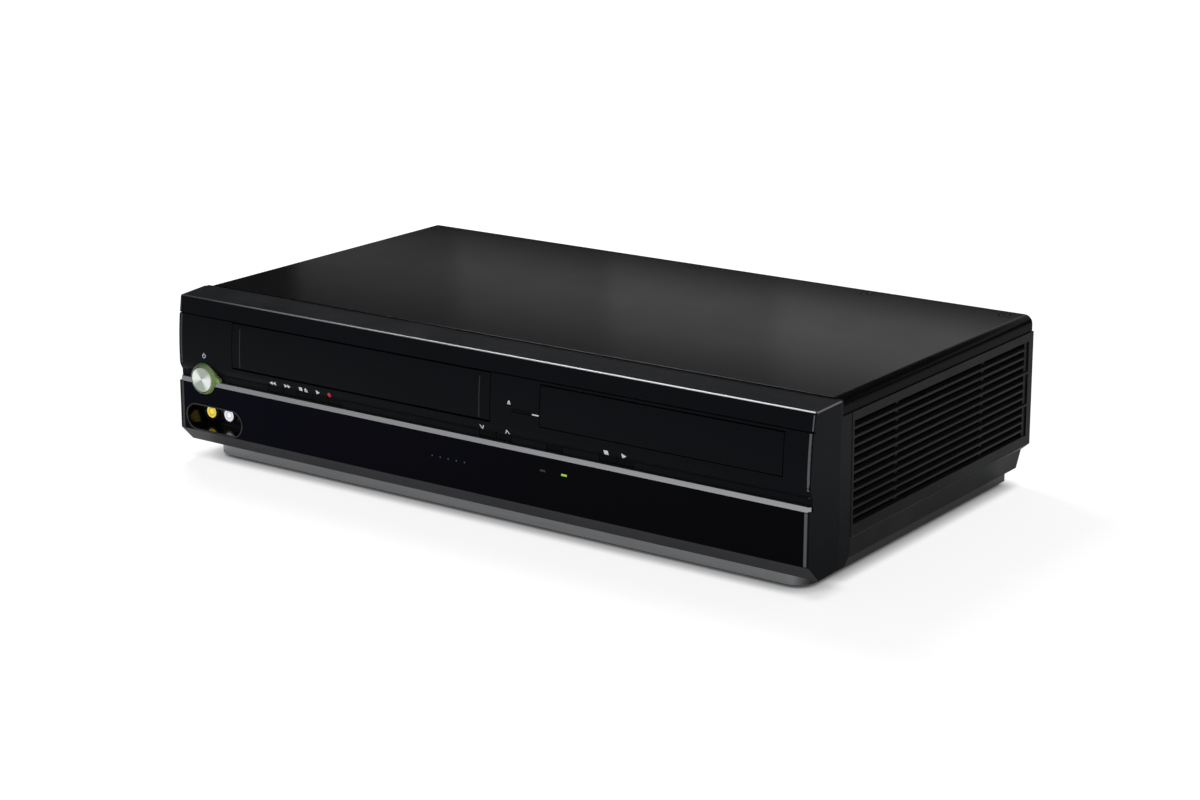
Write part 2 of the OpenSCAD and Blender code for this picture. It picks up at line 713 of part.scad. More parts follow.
module rear_sockets() color("#33343a") place() {
    reach = rear_reach;
    top = phono_z + phono_pitch + 7;
    // Phono block: four columns of two
    difference() {
        block(phono_x - 8, phono_x + 3 * phono_pitch + 8, panel_y - 14, panel_y - 0.05, board_z + board_t,
            top);
        for (p = phono_places) rod_along_y(p[0], p[1], panel_y - 6, panel_y, 1.6);
    }
    for (p = phono_places) difference() {
        union() {
            rod_along_y(p[0], p[1], panel_y - 0.06, panel_y + rear_sheet, phono_r + 0.3);
            rod_along_y(p[0], p[1], panel_y, reach, phono_r);
        }
        rod_along_y(p[0], p[1], panel_y - 2, reach + 1, 1.6);
        translate([p[0], reach - 1.5, p[1]]) rotate([-90, 0, 0]) difference() {
            cylinder(r = 3.5, h = 3);
            cylinder(r = 2.3, h = 3);
        }
    }
    // Tuner can with its two threaded aerial sockets
    block(aerial_x - 20, aerial_x + 20, panel_y - 40, panel_y - 0.05, board_z + board_t, cord_z + 8);
    for (dx = aerials) difference() {
        union() {
            rod_along_y(aerial_x + dx, cord_z, panel_y - 0.06, panel_y + rear_sheet, 5.2);
            rod_along_y(aerial_x + dx, cord_z, panel_y, reach, aerial_r);
        }
        rod_along_y(aerial_x + dx, cord_z, panel_y + 2, reach + 1, 1.2);
    }
}

module circuit_boards() color("#2d6b3f") place() {
    x0 = tray_x - 62;
    x1 = tray_x + 62;
    // Main board
    block(x0, x1, 128, panel_y - 1, board_z, board_z + board_t);
    for (p = [[10, 140, 20, 20, 2.5], [50, 146, 26, 26, 3], [88, 138, 14, 22, 2.5]])
        block(x0 + p[0], x0 + p[0] + p[2], p[1], p[1] + p[3], board_z + board_t - eps,
            board_z + board_t + p[4]);
    for (p = [[84, 172], [100, 164], [112, 178], [24, 170]])
        rod(x0 + p[0], p[1], board_z + board_t - eps, board_z + board_t + 11, 4);
    // Power board with its transformer, heat sink and capacitors
    block(x0, x1, 38, 122, board_z, board_z + board_t);
    block(x0 + 70, x0 + 102, 70, 98, board_z + board_t - eps, frame_z - 6.4);
    block(x0 + 52, x0 + 55, 64, 104, board_z + board_t - eps, frame_z - 8.4);
    for (p = [[30, 80, 9], [30, 104, 6], [14, 92, 6], [108, 108, 5]])
        rod(x0 + p[0], p[1], board_z + board_t - eps, frame_z - 12.4, p[2]);
}

module front_board() color("#2d6b3f") place() {
    low = strip_z - 7.2;
    top = strip_z + 10.8;
    block(power_x - 9.5, front_half - 10.6, board_y, board_y + board_t, low, top);
    block(bay_x - 79, tray_x - 4, board_y, board_y + board_t, window_z + 2.7, low + eps);
    block(open_key_x - 9, open_key_x + 6, board_y, board_y + board_t, top - eps, open_key_z + 5.5);
    // A switch behind every key, each with its plunger
    for (x = concat(cassette_keys_x, tracking_x, [source_x], disc_keys_x)) tact(x, key_z + key_h / 2);
    tact(open_key_x, open_key_z);
    tact(power_x, power_z);
    // Display behind the window
    block(bay_x + 17, bay_x + 81, 1.5, board_y + eps, low - 13, low);
    for (dx = [73.7, 58.5]) rod_along_y(tray_x - dx, low + 0.6, 0.5, board_y + eps, 1.5);
}

module tact(x, z) {
    block(x - 3, x + 3, board_y - switch_t + 0.8, board_y + eps, z - 3, z + 3);
    rod_along_y(x, z, board_y - switch_t, board_y - switch_t + 1, 1.5);
}

// ---- cassette side ----

module cassette_door() color("#15161a") {
    place() intersection() {
        front_blank();
        block(bay_x - flap_w / 2, bay_x + flap_w / 2, -9, -0.2, flap_z, flap_z + flap_h);
    }
    // Arms up to the pins
    in_bay() both_sides() {
        along_x(flap_w / 2 - 6, flap_w / 2 - 3) union() {
            polygon([[-0.3, flap_z + 2], [-0.3, flap_z + flap_h - 1.4], [1.4, flap_z + flap_h + 0.2],
                [flap_hinge_y - 1.6, flap_hinge_z], [flap_hinge_y + 1.6, flap_hinge_z],
                [flap_hinge_y + 1.6, flap_z + flap_h - 2], [1.4, flap_z + 2]]);
            translate([flap_hinge_y, flap_hinge_z]) circle(r = 1.6);
        }
        rod_along_x(flap_hinge_y, flap_hinge_z, flap_w / 2 - 3 - eps, flap_w / 2 + 1, 1.0);
    }
    // Lip behind the panel, so that no light shows through the gap
    top = flap_z + flap_h;
    in_bay() along_x(4 - flap_w / 2, flap_w / 2 - 4) polygon([[-0.3, top - 2.6], [-0.3, top - 1.4],
        [1.4, top + 0.2], [1.6, top + 1.1], [2.6, top + 1.1], [2.6, top - 0.9], [0.9, top - 2.6]]);
}

// Brackets on the guides that carry the flap's pins
module flap_brackets() {
    both_sides() difference() {
        block(flap_w / 2 - 2.6, flap_w / 2 + 1.2, flap_hinge_y - 2.4, flap_hinge_y + 2.4, flap_hinge_z - 2.2,
            front_ceiling + 0.2);
        rod_along_x(flap_hinge_y, flap_hinge_z, 0, bay_w, 1.0 + run);
    }
}

module deck_plate() color("#9a9da1") in_bay() {
    difference() {
        union() {
            block(-110, 110, basket_y + 1.5, case_d - 15.5, deck_z - deck_t, deck_z);
            rod(capstan_x, capstan_y, deck_z - eps, deck_z + 2.6, 4);
        }
        rod(capstan_x, capstan_y, 0, 60, 1.5 + run);
        for (side = [-1, 1]) translate([0, 0, deck_z - 3]) linear_extrude(height = 6)
            track([side * post_in[0], post_in[1]], [side * (post_in[0] - post_path[0]),
                post_in[1] + post_path[1]], 1.7);
        // Lightening holes
        for (x = [-30, 30]) rod(x, 100, deck_z - 3, deck_z + 1, 6);
    }
    // Pins for the reel tables, the cam gear, the pinch arm and, below, the clutch pulley
    for (side = [-1, 1]) rod(side * reel_span / 2, reel_y, deck_z - eps, deck_z + 13, 2);
    rod(cam_x, drum_y + 2, deck_z - eps, deck_z + 8, 3);
    rod(pinch_x, pinch_y, deck_z - eps, deck_z + 23, 2);
    rod(0, clutch_y, belt_z - 1.2, deck_z - deck_t + eps, 2);
}

module side_guides() color("#8b8e92") in_bay() both_sides() {
    difference() {
        block(guide_x, guide_x + guide_t, 36, 136, deck_z, slider_top);
        along_x(guide_x - 1, guide_x + 4)
            track([boss_y[0], rail_z], [boss_y[1] + draw_in, rail_z], boss_r + 0.2);
        block(guide_x - 1, guide_x + 4, 60, 112, deck_z + 8, rail_z - 10);
    }
    block(guide_x, guide_x + 9, 36, 136, deck_z, deck_z + 1.2);
}

module lift_carriage() color("#b9bcc0") in_bay() {
    both_sides() {
        difference() {
            block(slider_x, slider_x + slider_t, basket_y, basket_stop, lift_z - drop_in - 6, slider_top);
            for (y = boss_y) along_x(slider_x - 1, slider_x + 4)
                track([y, lift_z - drop_in], [y, lift_z], boss_r + 0.2);
        }
        for (y = boss_y) rod_along_x(y, rail_z, slider_x + slider_t - eps, guide_x + guide_t + 0.6, boss_r);
    }
    block(-slider_x - eps, slider_x + eps, basket_stop - 8, basket_stop, slider_top - 1.5, slider_top);
}

module cassette_basket() color("#a4a7ab") in_bay() {
    both_sides() {
        block(bay_half, bay_half + side_t, basket_y, basket_stop, basket_z, basket_top + side_t);
        block(bay_half - 14, bay_half + eps, basket_y, basket_stop, basket_z, basket_z + side_t);
        block(bay_half - 12, bay_half + eps, basket_stop - 1.2, basket_stop, basket_z, basket_z + 14);
        for (y = boss_y) rod_along_x(y, lift_z, bay_half + side_t - eps, slider_x + slider_t - 0.2, boss_r);
    }
    difference() {
        block(-bay_half - eps, bay_half + eps, basket_y, basket_stop, basket_top, basket_top + side_t);
        // Springs that press the cassette down are cut from the top
        for (x = [-46, 46]) difference() {
            block(x - 12, x + 12, basket_y + 8, basket_stop - 8, basket_top - 1, basket_top + 3);
            block(x - 9, x + 9, basket_y + 8 - eps, basket_stop - 11, basket_top - 2, basket_top + 4);
        }
    }
}

module lower_drum() color("#b4b7bb") in_bay() difference() {
    union() {
        rod(0, drum_y, deck_z, drum_z + eps, drum_r - 5);
        rod(0, drum_y, drum_z, drum_z + drum_low_h, drum_r);
    }
    rod(0, drum_y, deck_z - 1, drum_z + drum_low_h + 1, 3 + run);
}

module upper_drum() color("#c9ccd0") in_bay() {
    z = drum_z + drum_low_h + seat;
    difference() {
        rod(0, drum_y, z, z + drum_up_h, drum_r);
        rod(0, drum_y, z + drum_up_h - 2, z + drum_up_h + 1, drum_r - 4);
        for (a = [0, 180]) translate([0, drum_y, z]) rotate([0, 0, a])
            block(drum_r - 1.2, drum_r + 1, -2, 2, -1, 2);
    }
    rod(0, drum_y, z + drum_up_h - 2 - eps, z + drum_up_h + 3, 14);
    rod(0, drum_y, deck_z + 0.5, z + 1, 3);
}

module capstan() color("#c2c5c9") in_bay() {
    rod(capstan_x, capstan_y, belt_z - 0.6, deck_z + 28, 1.5);
    rod(capstan_x, capstan_y, belt_z + 3, deck_z - deck_t - 1.2, flywheel_r);
    rod(capstan_x, capstan_y, belt_z - 0.6, belt_z + 3 + eps, 10);
}

module clutch_pulley() color("#e6e4da") in_bay() difference() {
    union() {
        rod(0, clutch_y, belt_z - 0.6, belt_z + 2.8, clutch_r);
        rod(0, clutch_y, belt_z + 2.7, deck_z - deck_t - seat, 7);
    }
    rod(0, clutch_y, belt_z - 2, deck_z, 2 + run);
}

module reel(side) color("#e8e8e4") in_bay() difference() {
    union() {
        rod(side * reel_span / 2, reel_y, deck_z + seat, deck_z + 2.6, 16);
        rod(side * reel_span / 2, reel_y, deck_z + 2.5, deck_z + 14, 4.2);
        for (a = [0:120:240]) translate([side * reel_span / 2, reel_y, 0]) rotate([0, 0, a])
            block(0, 6.4, -0.8, 0.8, deck_z + 2.5, deck_z + 12);
    }
    rod(side * reel_span / 2, reel_y, deck_z, deck_z + 13.4, 2 + run);
}

module supply_reel() reel(-1);
module takeup_reel() reel(1);

roller_x = pinch_x + pinch_len * cos(pinch_rest);
roller_y = pinch_y + pinch_len * sin(pinch_rest);

module pinch_arm() color("#d0cfc8") in_bay() difference() {
    union() {
        rod(pinch_x, pinch_y, deck_z + seat, deck_z + 22, 4);
        translate([0, 0, deck_z + 1]) linear_extrude(height = 2)
            track([pinch_x, pinch_y], [roller_x, roller_y], 4);
        rod(roller_x, roller_y, deck_z + 2, deck_z + 23, 1.5);
    }
    rod(pinch_x, pinch_y, deck_z - 1, deck_z + 24, 2 + run);
}

module pinch_roller() color("#1d1d1f") in_bay() difference() {
    rod(roller_x, roller_y, deck_z + 3.3, deck_z + 22, roller_r);
    rod(roller_x, roller_y, deck_z, deck_z + 24, 1.5 + run);
}

module thread_post(side) color("#d7dade") in_bay() {
    x = side * (post_in[0] - post_path[0]);
    y = post_in[1] + post_path[1];
    rod(x, y, deck_z + seat, deck_z + 4, 4);
    rod(x, y, deck_z + 3.9, deck_z + 24, 2);
    rod(x, y, deck_z + 4, deck_z + 6, 3);
    rod(x, y, deck_z + 22, deck_z + 24, 3);
    rod(x, y, deck_z - deck_t - 1, deck_z + 0.5, 1.4);
}

module supply_post() thread_post(-1);
module takeup_post() thread_post(1);

module fixed_heads() color("#aeb1b5") in_bay() {
    block(-64, -56, 134, 146, deck_z, deck_z + 20);
    block(46.5, 52, 131, 145, deck_z, deck_z + 20);
    for (p = [[-70, 126], [-52, 152]]) {
        rod(p[0], p[1], deck_z, deck_z + 24, 2.5);
        rod(p[0], p[1], deck_z, deck_z + 4, 3.5);
    }
}

module cam_gear() color("#f0efe8") in_bay() translate([cam_x, drum_y + 2, 0]) difference() {
    union() {
        translate([0, 0, deck_z + seat]) gear(cam_teeth, cam_m, 5);
        rod(0, 0, deck_z + 5, deck_z + 7, 8);
    }
    rod(0, 0, deck_z - 1, deck_z + 9, 3 + run);
    // Cam track
    translate([0, 0, deck_z + 3.8]) linear_extrude(height = 3) difference() {
        translate([1.5, 0]) circle(r = 14);
        translate([1.5, 0]) circle(r = 11.5);
    }
}

module loading_motor() color("#3b3d40") in_bay() {
    block(cam_x - 20, cam_x + 18, drum_y + 25, 212, deck_z, deck_z + 12);
    rod_along_x(drum_y + 31, deck_z + 20, cam_x - 18, cam_x + 12, 9);
    block(cam_x - 10, cam_x + 6, drum_y + 26, drum_y + 36, deck_z + 10, deck_z + 14);
}

// ---- disc side ----

module loader_frame() color("#1c1d20") in_loader() {
    y1 = 190;
    difference() {
        union() {
            block(-frame_half, frame_half, 14, y1, frame_z, frame_z + frame_t);
            both_sides() block(frame_half - 3.4, frame_half, 14, y1, frame_z, tray_z + tray_t + 2.4);
            both_sides() block(frame_half - 9, frame_half - 3, 14, y1, tray_z - 3, tray_z - 0.4);
            both_sides() for (y = [26, 96, 160])
                block(frame_half - 6.5, frame_half - 3, y, y + 14, tray_z + tray_t + 0.4,
                    tray_z + tray_t + 2.4);
            // Columns for the clamp bridge
            both_sides() for (y = [disc_y - 20, disc_y + 12])
                block(frame_half - 3.4, frame_half + 2, y, y + 8, frame_z, bridge_z);
            // Ears on the case's posts
            both_sides() for (y = loader_ears_y) rod(frame_half + 3.5, y, frame_z, frame_z + frame_t, 6);
            both_sides() for (y = loader_ears_y)
                block(frame_half - 1, frame_half + 3.5, y - 4, y + 4, frame_z, frame_z + frame_t);
        }
        // Opening for the traverse
        block(-30, 30, 52, 162, frame_z - 1, frame_z + frame_t + 1);
        rod(motor_x, gear_y, frame_z - 1, frame_z + 5, 2.2);
    }
    // Bearings of the traverse
    both_sides() difference() {
        block(29.5, 33.5, traverse_y - 4, traverse_y + 4, frame_z, traverse_z + 4.5);
        rod_along_x(traverse_y, hinge_z, 25, 40, hinge_r + run);
    }
    // Pins of the gears
    rod(rack_gear_x, gear_y, frame_z + frame_t - eps, tray_z - 0.6, 2);
    rod(pulley_x, gear_y, frame_z + frame_t - eps, pulley_z + 10, 2);
}

module disc_tray() color("#202124") in_loader() {
    half = tray_w / 2;
    difference() {
        union() {
            block(-half, half, tray_y, tray_y + tray_len, tray_z, tray_z + tray_t);
            block(rack_x, rack_x + 2.3, 20, tray_y + tray_len, tray_z - 4, tray_z + eps);
        }
        rod(0, disc_y, tray_z + tray_t - 1.5, tray_z + 9, disc_r);
        rod(0, disc_y, tray_z + tray_t - 2.4, tray_z + 9, 40.5);
        rod(0, disc_y, tray_z - 1, tray_z + 9, slot_half);
        block(-slot_half, slot_half, disc_y, tray_y + tray_len + 1, tray_z - 1, tray_z + 9);
        // Finger scoops beside the disc
        for (side = [-1, 1]) rod(side * 48, disc_y - 46, tray_z + 1, tray_z + 9, 14);
    }
    // Rack below the left edge
    n = 1 + floor((tray_y + tray_len - gear_y - 1) / (PI * gear_m));
    for (i = [0:n - 1]) {
        y = gear_y + (i + 0.5) * PI * gear_m - PI * gear_m;
        translate([rack_x + 2.2, y, tray_z - 4]) linear_extrude(height = 4 + eps) polygon([
            [0, -1.0], [0.65 + 1.15, -0.66], [2.65, -0.33], [2.65, 0.33], [1.8, 0.66], [0, 1.0]] * gear_m);
    }
}

module tray_front() color("#15161a") {
    place() intersection() {
        front_blank();
        block(tray_x - tray_front_w / 2, tray_x + tray_front_w / 2, -9, -0.6, tray_top - tray_front_h,
            tray_top);
    }
    in_loader() {
        block(-tray_w / 2, tray_w / 2, -0.7, tray_y, tray_z - 4, tray_z + 6);
    }
}

module rack_gear() color("#efece0") in_loader() translate([rack_gear_x, gear_y, 0]) difference() {
    union() {
        translate([0, 0, pulley_z + 4.5]) gear(rack_teeth, gear_m, tray_z - 0.4 - pulley_z - 4.5);
        rod(0, 0, frame_z + frame_t + seat, pulley_z + 5, 4);
    }
    rod(0, 0, frame_z, tray_z + 1, 2 + run);
}

module pulley_gear() color("#efece0") in_loader() translate([pulley_x, gear_y, 0]) difference() {
    union() {
        rod(0, 0, pulley_z, pulley_z + 3.5, pulley_r);
        rod(0, 0, frame_z + frame_t + seat, pulley_z + eps, pulley_r - 6);
        translate([0, 0, pulley_z + 3.5 - eps]) rotate([0, 0, 180 / pinion_teeth])
            gear(pinion_teeth, gear_m, 5.5);
    }
    rod(0, 0, frame_z, tray_z, 2 + run);
}

module motor_pulley() color("#d8a94a") in_loader() {
    rod(motor_x, gear_y, pulley_z - 0.4, pulley_z + 3.6, motor_pulley_r);
    rod(motor_x, gear_y, frame_z - 7, pulley_z, 1);
}

module loader_motor() color("#a9acb0") in_loader() difference() {
    union() {
        rod(motor_x, gear_y, frame_z - 17, frame_z, 10);
        rod(motor_x, gear_y, frame_z - eps, frame_z + 1, 2);
    }
    rod(motor_x, gear_y, frame_z - 8, frame_z + 2, 1 + run);
}

module traverse() color("#232427") in_loader() {
    difference() {
        union() {
            block(-27, 27, disc_y - 18, traverse_y + 3.5, traverse_z, traverse_z + 2.5);
            rod(0, disc_y, traverse_z, table_z - 2.2, 12);
            both_sides() rod_along_x(traverse_y, hinge_z, 26, 33, hinge_r);
            // Blocks that hold the rods
            both_sides() for (y = [[disc_y + 12, 3.5], [traverse_y - 7, 3.5]])
                block(rod_x - 3, rod_x + 3, y[0], y[0] + y[1], traverse_z + 2, rod_z + 2.5);
        }
        // Window below the pickup
        block(-15, 15, disc_y + 15, traverse_y - 8, traverse_z - 1, traverse_z + 4);
        rod(0, disc_y, traverse_z - 1, table_z, 1.5 + run);
        both_sides() rod_along_y(rod_x, rod_z, disc_y + 13, traverse_y - 4.5, rod_r);
    }
}

module guide_rods() color("#d5d8db") in_loader() both_sides()
    rod_along_y(rod_x, rod_z, disc_y + 13, traverse_y - 4.5, rod_r);

module turntable() color("#1a1a1b") in_loader() {
    rod(0, disc_y, traverse_z + 0.5, table_z, 1.5);
    rod(0, disc_y, table_z - 1.9, table_z, 12.4);
    rod(0, disc_y, table_z - eps, table_z + 3, table_r);
    rod(0, disc_y, table_z + 3 - eps, table_z + 4.6, hub_r);
    translate([0, disc_y, table_z + 4.6 - eps]) rotate_extrude()
        polygon([[0, 0], [hub_r, 0], [hub_r - 1.4, 0.8], [0, 0.8]]);
}

module pickup_sled() color("#3a3c40") in_loader() {
    y0 = disc_y + 16;
    difference() {
        union() {
            block(-24, 24, y0, y0 + 22, rod_z - 1.7, rod_z + 2.8);
            block(-11, 11, y0 + 2, y0 + 20, rod_z + 2.7, rod_z + 4);
            rod(0, y0 + 8, rod_z + 3.9, rod_z + 5.4, 4);
        }
        both_sides() rod_along_y(rod_x, rod_z, y0 - 1, y0 + 23, rod_r + run);
    }
}

module clamp_bridge() color("#a6a9ad") in_loader() difference() {
    block(-frame_half - 2, frame_half + 2, disc_y - 20, disc_y + 20, bridge_z, bridge_z + 1.2);
    rod(0, disc_y, bridge_z - 1, bridge_z + 3, clamp_r + 1);
    for (side = [-1, 1])
        block(side * 44 - 10, side * 44 + 10, disc_y - 12, disc_y + 12, bridge_z - 1, bridge_z + 3);
}

module disc_clamp() color("#e2e0d6") in_loader() {
    rod(0, disc_y, bridge_z + 1.2 + seat, bridge_z + 3, clamp_r + 5);
    difference() {
        rod(0, disc_y, bridge_z - 3.8, bridge_z + 1.6, clamp_r);
        rod(0, disc_y, bridge_z - 4, bridge_z - 2.6, hub_r + 0.6);
    }
    rod(0, disc_y, bridge_z + 2.9, bridge_z + 5, 5);
}

module drive_belts() color("#202020") {
    // Loader belt
    in_loader() translate([0, gear_y, pulley_z + 1])
        belt(pulley_x, pulley_r, motor_x, motor_pulley_r, 1, 1.6);
    // Capstan belt
    span = [0 - capstan_x, clutch_y - capstan_y];
    in_bay() translate([capstan_x, capstan_y, belt_z]) rotate([0, 0, atan2(span[1], span[0])])
        belt(0, 10, norm(span), clutch_r, 1, 1.8);
}

chassis_tub();
base_pan();
top_cover();
rear_panel();
rubber_feet();
case_screws();
front_bezel();
display_window();
trim_strip();
jack_cup();
front_sockets();
power_button();
power_ring();
key_rewind();
key_forward();
key_stop_eject();
key_play();
key_record();
key_tracking_down();
key_tracking_up();
key_open_close();
key_source();
key_disc_stop();
key_disc_play();
cassette_door();
deck_plate();
side_guides();
lift_carriage();
cassette_basket();
lower_drum();
upper_drum();
capstan();
clutch_pulley();
supply_reel();
takeup_reel();
pinch_arm();
pinch_roller();
supply_post();
takeup_post();
fixed_heads();
cam_gear();
loading_motor();
loader_frame();
disc_tray();
tray_front();
rack_gear();
pulley_gear();
motor_pulley();
loader_motor();
traverse();
guide_rods();
turntable();
pickup_sled();
clamp_bridge();
disc_clamp();
drive_belts();
circuit_boards();
front_board();
rear_sockets();
cord_gland();
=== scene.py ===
"""Looks of a disc player and cassette recorder in one case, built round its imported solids."""

import math

import bmesh
import bpy
from mathutils import Matrix, Vector


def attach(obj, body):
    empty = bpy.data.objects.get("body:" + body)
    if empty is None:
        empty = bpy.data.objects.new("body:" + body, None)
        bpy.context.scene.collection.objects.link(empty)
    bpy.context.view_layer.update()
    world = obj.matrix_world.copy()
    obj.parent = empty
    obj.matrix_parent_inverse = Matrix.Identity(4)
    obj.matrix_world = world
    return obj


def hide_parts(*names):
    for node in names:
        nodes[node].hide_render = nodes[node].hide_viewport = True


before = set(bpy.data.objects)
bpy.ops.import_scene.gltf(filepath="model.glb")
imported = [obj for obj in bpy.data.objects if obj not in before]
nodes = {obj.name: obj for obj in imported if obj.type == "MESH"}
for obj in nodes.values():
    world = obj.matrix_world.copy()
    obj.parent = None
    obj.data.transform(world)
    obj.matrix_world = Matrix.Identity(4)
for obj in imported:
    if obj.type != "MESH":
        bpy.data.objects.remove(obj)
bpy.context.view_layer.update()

# Places are measured in millimetres: X from the middle, Y backwards from the front's lip, Z from the floor.
# LIP_Y is where the lip lies in the frame of the solids.
MM = 0.001
LIP_Y = -115.6


def at(x, y, z):
    """A point measured from the lip, in the frame of the solids."""
    return Vector((x * MM, (y + LIP_Y) * MM, z * MM))


# ---------------------------------------------------------------- camera

IMAGE_WIDTH = 1200              # pixels
FOCAL = 2524.12                 # pixels
PRINCIPAL = (17.9, -16.36)      # from the middle of the image, in pixels
SENSOR = 36.0                   # millimetres
YAW, PITCH, ROLL = 0.626370, 0.272388, -0.006207
CAMERA_PLACE = (826.6, -1007.77, 441.39)
NEAREST, FARTHEST = 0.05, 50    # metres


def make_camera():
    """Looks down at the front from its right."""
    forward = Vector((-math.sin(YAW) * math.cos(PITCH), math.cos(YAW) * math.cos(PITCH),
                      -math.sin(PITCH)))
    level = Vector((math.cos(YAW), math.sin(YAW), 0))
    up = level.cross(forward)
    right = level * math.cos(ROLL) + up * math.sin(ROLL)
    up = up * math.cos(ROLL) - level * math.sin(ROLL)
    data = bpy.data.cameras.new("camera")
    data.sensor_width = SENSOR
    data.lens = FOCAL / IMAGE_WIDTH * SENSOR
    data.shift_x = -PRINCIPAL[0] / IMAGE_WIDTH
    data.shift_y = PRINCIPAL[1] / IMAGE_WIDTH
    data.clip_start, data.clip_end = NEAREST, FARTHEST
    camera = bpy.data.objects.new("camera", data)
    bpy.context.scene.collection.objects.link(camera)
    turn = Matrix((right, up, -forward)).transposed().to_4x4()
    camera.matrix_world = Matrix.Translation(at(*CAMERA_PLACE)) @ turn
    bpy.context.scene.camera = camera


make_camera()
bpy.context.scene.view_settings.view_transform = "Standard"

# ---------------------------------------------------------------- shader nodes


def node(tree, kind, inputs=None, **settings):
    """A shader node with its settings and inputs. An input is a value or another node's output."""
    made = tree.nodes.new("ShaderNode" + kind)
    for key, value in settings.items():
        setattr(made, key, value)
    for key, value in (inputs or {}).items():
        socket = made.inputs[key]
        if isinstance(value, bpy.types.NodeSocket):
            tree.links.new(value, socket)
        else:
            socket.default_value = value
    return made


def calc(tree, operation, a, b=0.0, c=0.0, clamp=False):
    """One step of arithmetic."""
    return node(tree, "Math", {0: a, 1: b, 2: c}, operation=operation, use_clamp=clamp).outputs[0]


def ramp(tree, value, low, high, start=0.0, end=1.0):
    """Turns low to high into start to end, and holds the ends beyond them."""
    return node(tree, "MapRange", {0: value, 1: low, 2: high, 3: start, 4: end}).outputs[0]


def blend_value(tree, share, a, b):
    """From a to b as the share goes from 0 to 1."""
    return node(tree, "Mix", {"Factor": share, 2: a, 3: b}, data_type="FLOAT").outputs[0]


def blend_colour(tree, share, a, b):
    """From colour a to colour b as the share goes from 0 to 1."""
    mix = node(tree, "Mix", {"Factor": share}, data_type="RGBA")
    for socket, value in ((mix.inputs[6], a), (mix.inputs[7], b)):
        if isinstance(value, bpy.types.NodeSocket):
            tree.links.new(value, socket)
        else:
            socket.default_value = (*value, 1)
    return mix.outputs[2]


def placed(tree):
    """Where a point lies on its piece, in metres."""
    return node(tree, "TexCoord").outputs["Object"]


def placed_along(tree, axis):
    """X, Y or Z of a point on its piece, for axis 0, 1 or 2."""
    return node(tree, "SeparateXYZ", {0: placed(tree)}).outputs[axis]


def facing(tree, axis):
    """How far a surface faces along X, Y or Z, from -1 to 1."""
    normal = node(tree, "NewGeometry").outputs["Normal"]
    return node(tree, "SeparateXYZ", {0: normal}).outputs[axis]


def cloud(tree, scale, detail):
    """Soft noise. The scale is in patches to the metre."""
    return node(tree, "TexNoise", {"Vector": placed(tree), "Scale": scale, "Detail": detail}).outputs[0]


def length_of(tree, vector):
    """A vector's length."""
    return node(tree, "VectorMath", {0: vector}, operation="LENGTH").outputs["Value"]


def group(name, inputs, outputs):
    """A shared node tree, with the sockets that it takes in and the masks or values that it puts out."""
    tree = bpy.data.node_groups.new(name, "ShaderNodeTree")
    for label, kind, value in inputs:
        socket = tree.interface.new_socket(label, in_out="INPUT", socket_type="NodeSocket" + kind)
        socket.default_value = value
    for label in outputs:
        tree.interface.new_socket(label, in_out="OUTPUT", socket_type="NodeSocketFloat")
    return tree, tree.nodes.new("NodeGroupInput").outputs, tree.nodes.new("NodeGroupOutput").inputs


def moulded_grain():
    """Fine spark texture of a mould: a height, and slow changes of shade."""
    tree, given, out = group("Moulded grain", [("Grain per metre", "Float", 1500.0)], ["Height", "Shade"])
    fine = node(tree, "TexNoise", {"Vector": placed(tree), "Scale": given[0], "Detail": 3.0,
                                   "Roughness": 0.6})
    tree.links.new(fine.outputs[0], out["Height"])
    tree.links.new(cloud(tree, 14.0, 3.0), out["Shade"])
    return tree


def edge_wear():
    """Where handling has polished an edge, broken up along its length."""
    tree, given, out = group("Edge wear", [("Width", "Float", 0.0006), ("Amount", "Float", 0.5)], ["Mask"])
    rounded = node(tree, "Bevel", {"Radius": given[0]}, samples=4).outputs[0]
    straight = node(tree, "NewGeometry").outputs["Normal"]
    turn = node(tree, "VectorMath", {0: rounded, 1: straight}, operation="DOT_PRODUCT").outputs["Value"]
    edge = calc(tree, "MULTIPLY", calc(tree, "SUBTRACT", 1.0, turn), 7.0, clamp=True)
    patchy = ramp(tree, cloud(tree, 90.0, 4.0), 0.35, 0.7)
    worn = calc(tree, "MULTIPLY", calc(tree, "MULTIPLY", edge, patchy), given[1], clamp=True)
    tree.links.new(worn, out["Mask"])
    return tree


def settled_dust():
    """A trace of dust on what faces up."""
    tree, given, out = group("Settled dust", [("Amount", "Float", 0.1)], ["Mask"])
    upward = ramp(tree, facing(tree, 2), 0.7, 1.0)
    specks = ramp(tree, cloud(tree, 700.0, 2.0), 0.56, 0.75)
    mask = calc(tree, "MULTIPLY", calc(tree, "MULTIPLY", upward, specks), cloud(tree, 9.0, 2.0))
    tree.links.new(calc(tree, "MULTIPLY", mask, given[0], clamp=True), out["Mask"])
    return tree


def brush_lines():
    """Long fine scratches. They run along the axis whose stretch is small."""
    tree, given, out = group("Brush lines", [("Stretch", "Vector", (20.0, 3000.0, 3000.0))],
                             ["Height", "Shade"])
    vector = node(tree, "VectorMath", {0: placed(tree), 1: given[0]}, operation="MULTIPLY").outputs[0]
    lines = node(tree, "TexNoise", {"Vector": vector, "Scale": 1.0, "Detail": 4.0, "Roughness": 0.65})
    tree.links.new(lines.outputs[0], out["Height"])
    tree.links.new(ramp(tree, lines.outputs[0], 0.3, 0.7), out["Shade"])
    return tree


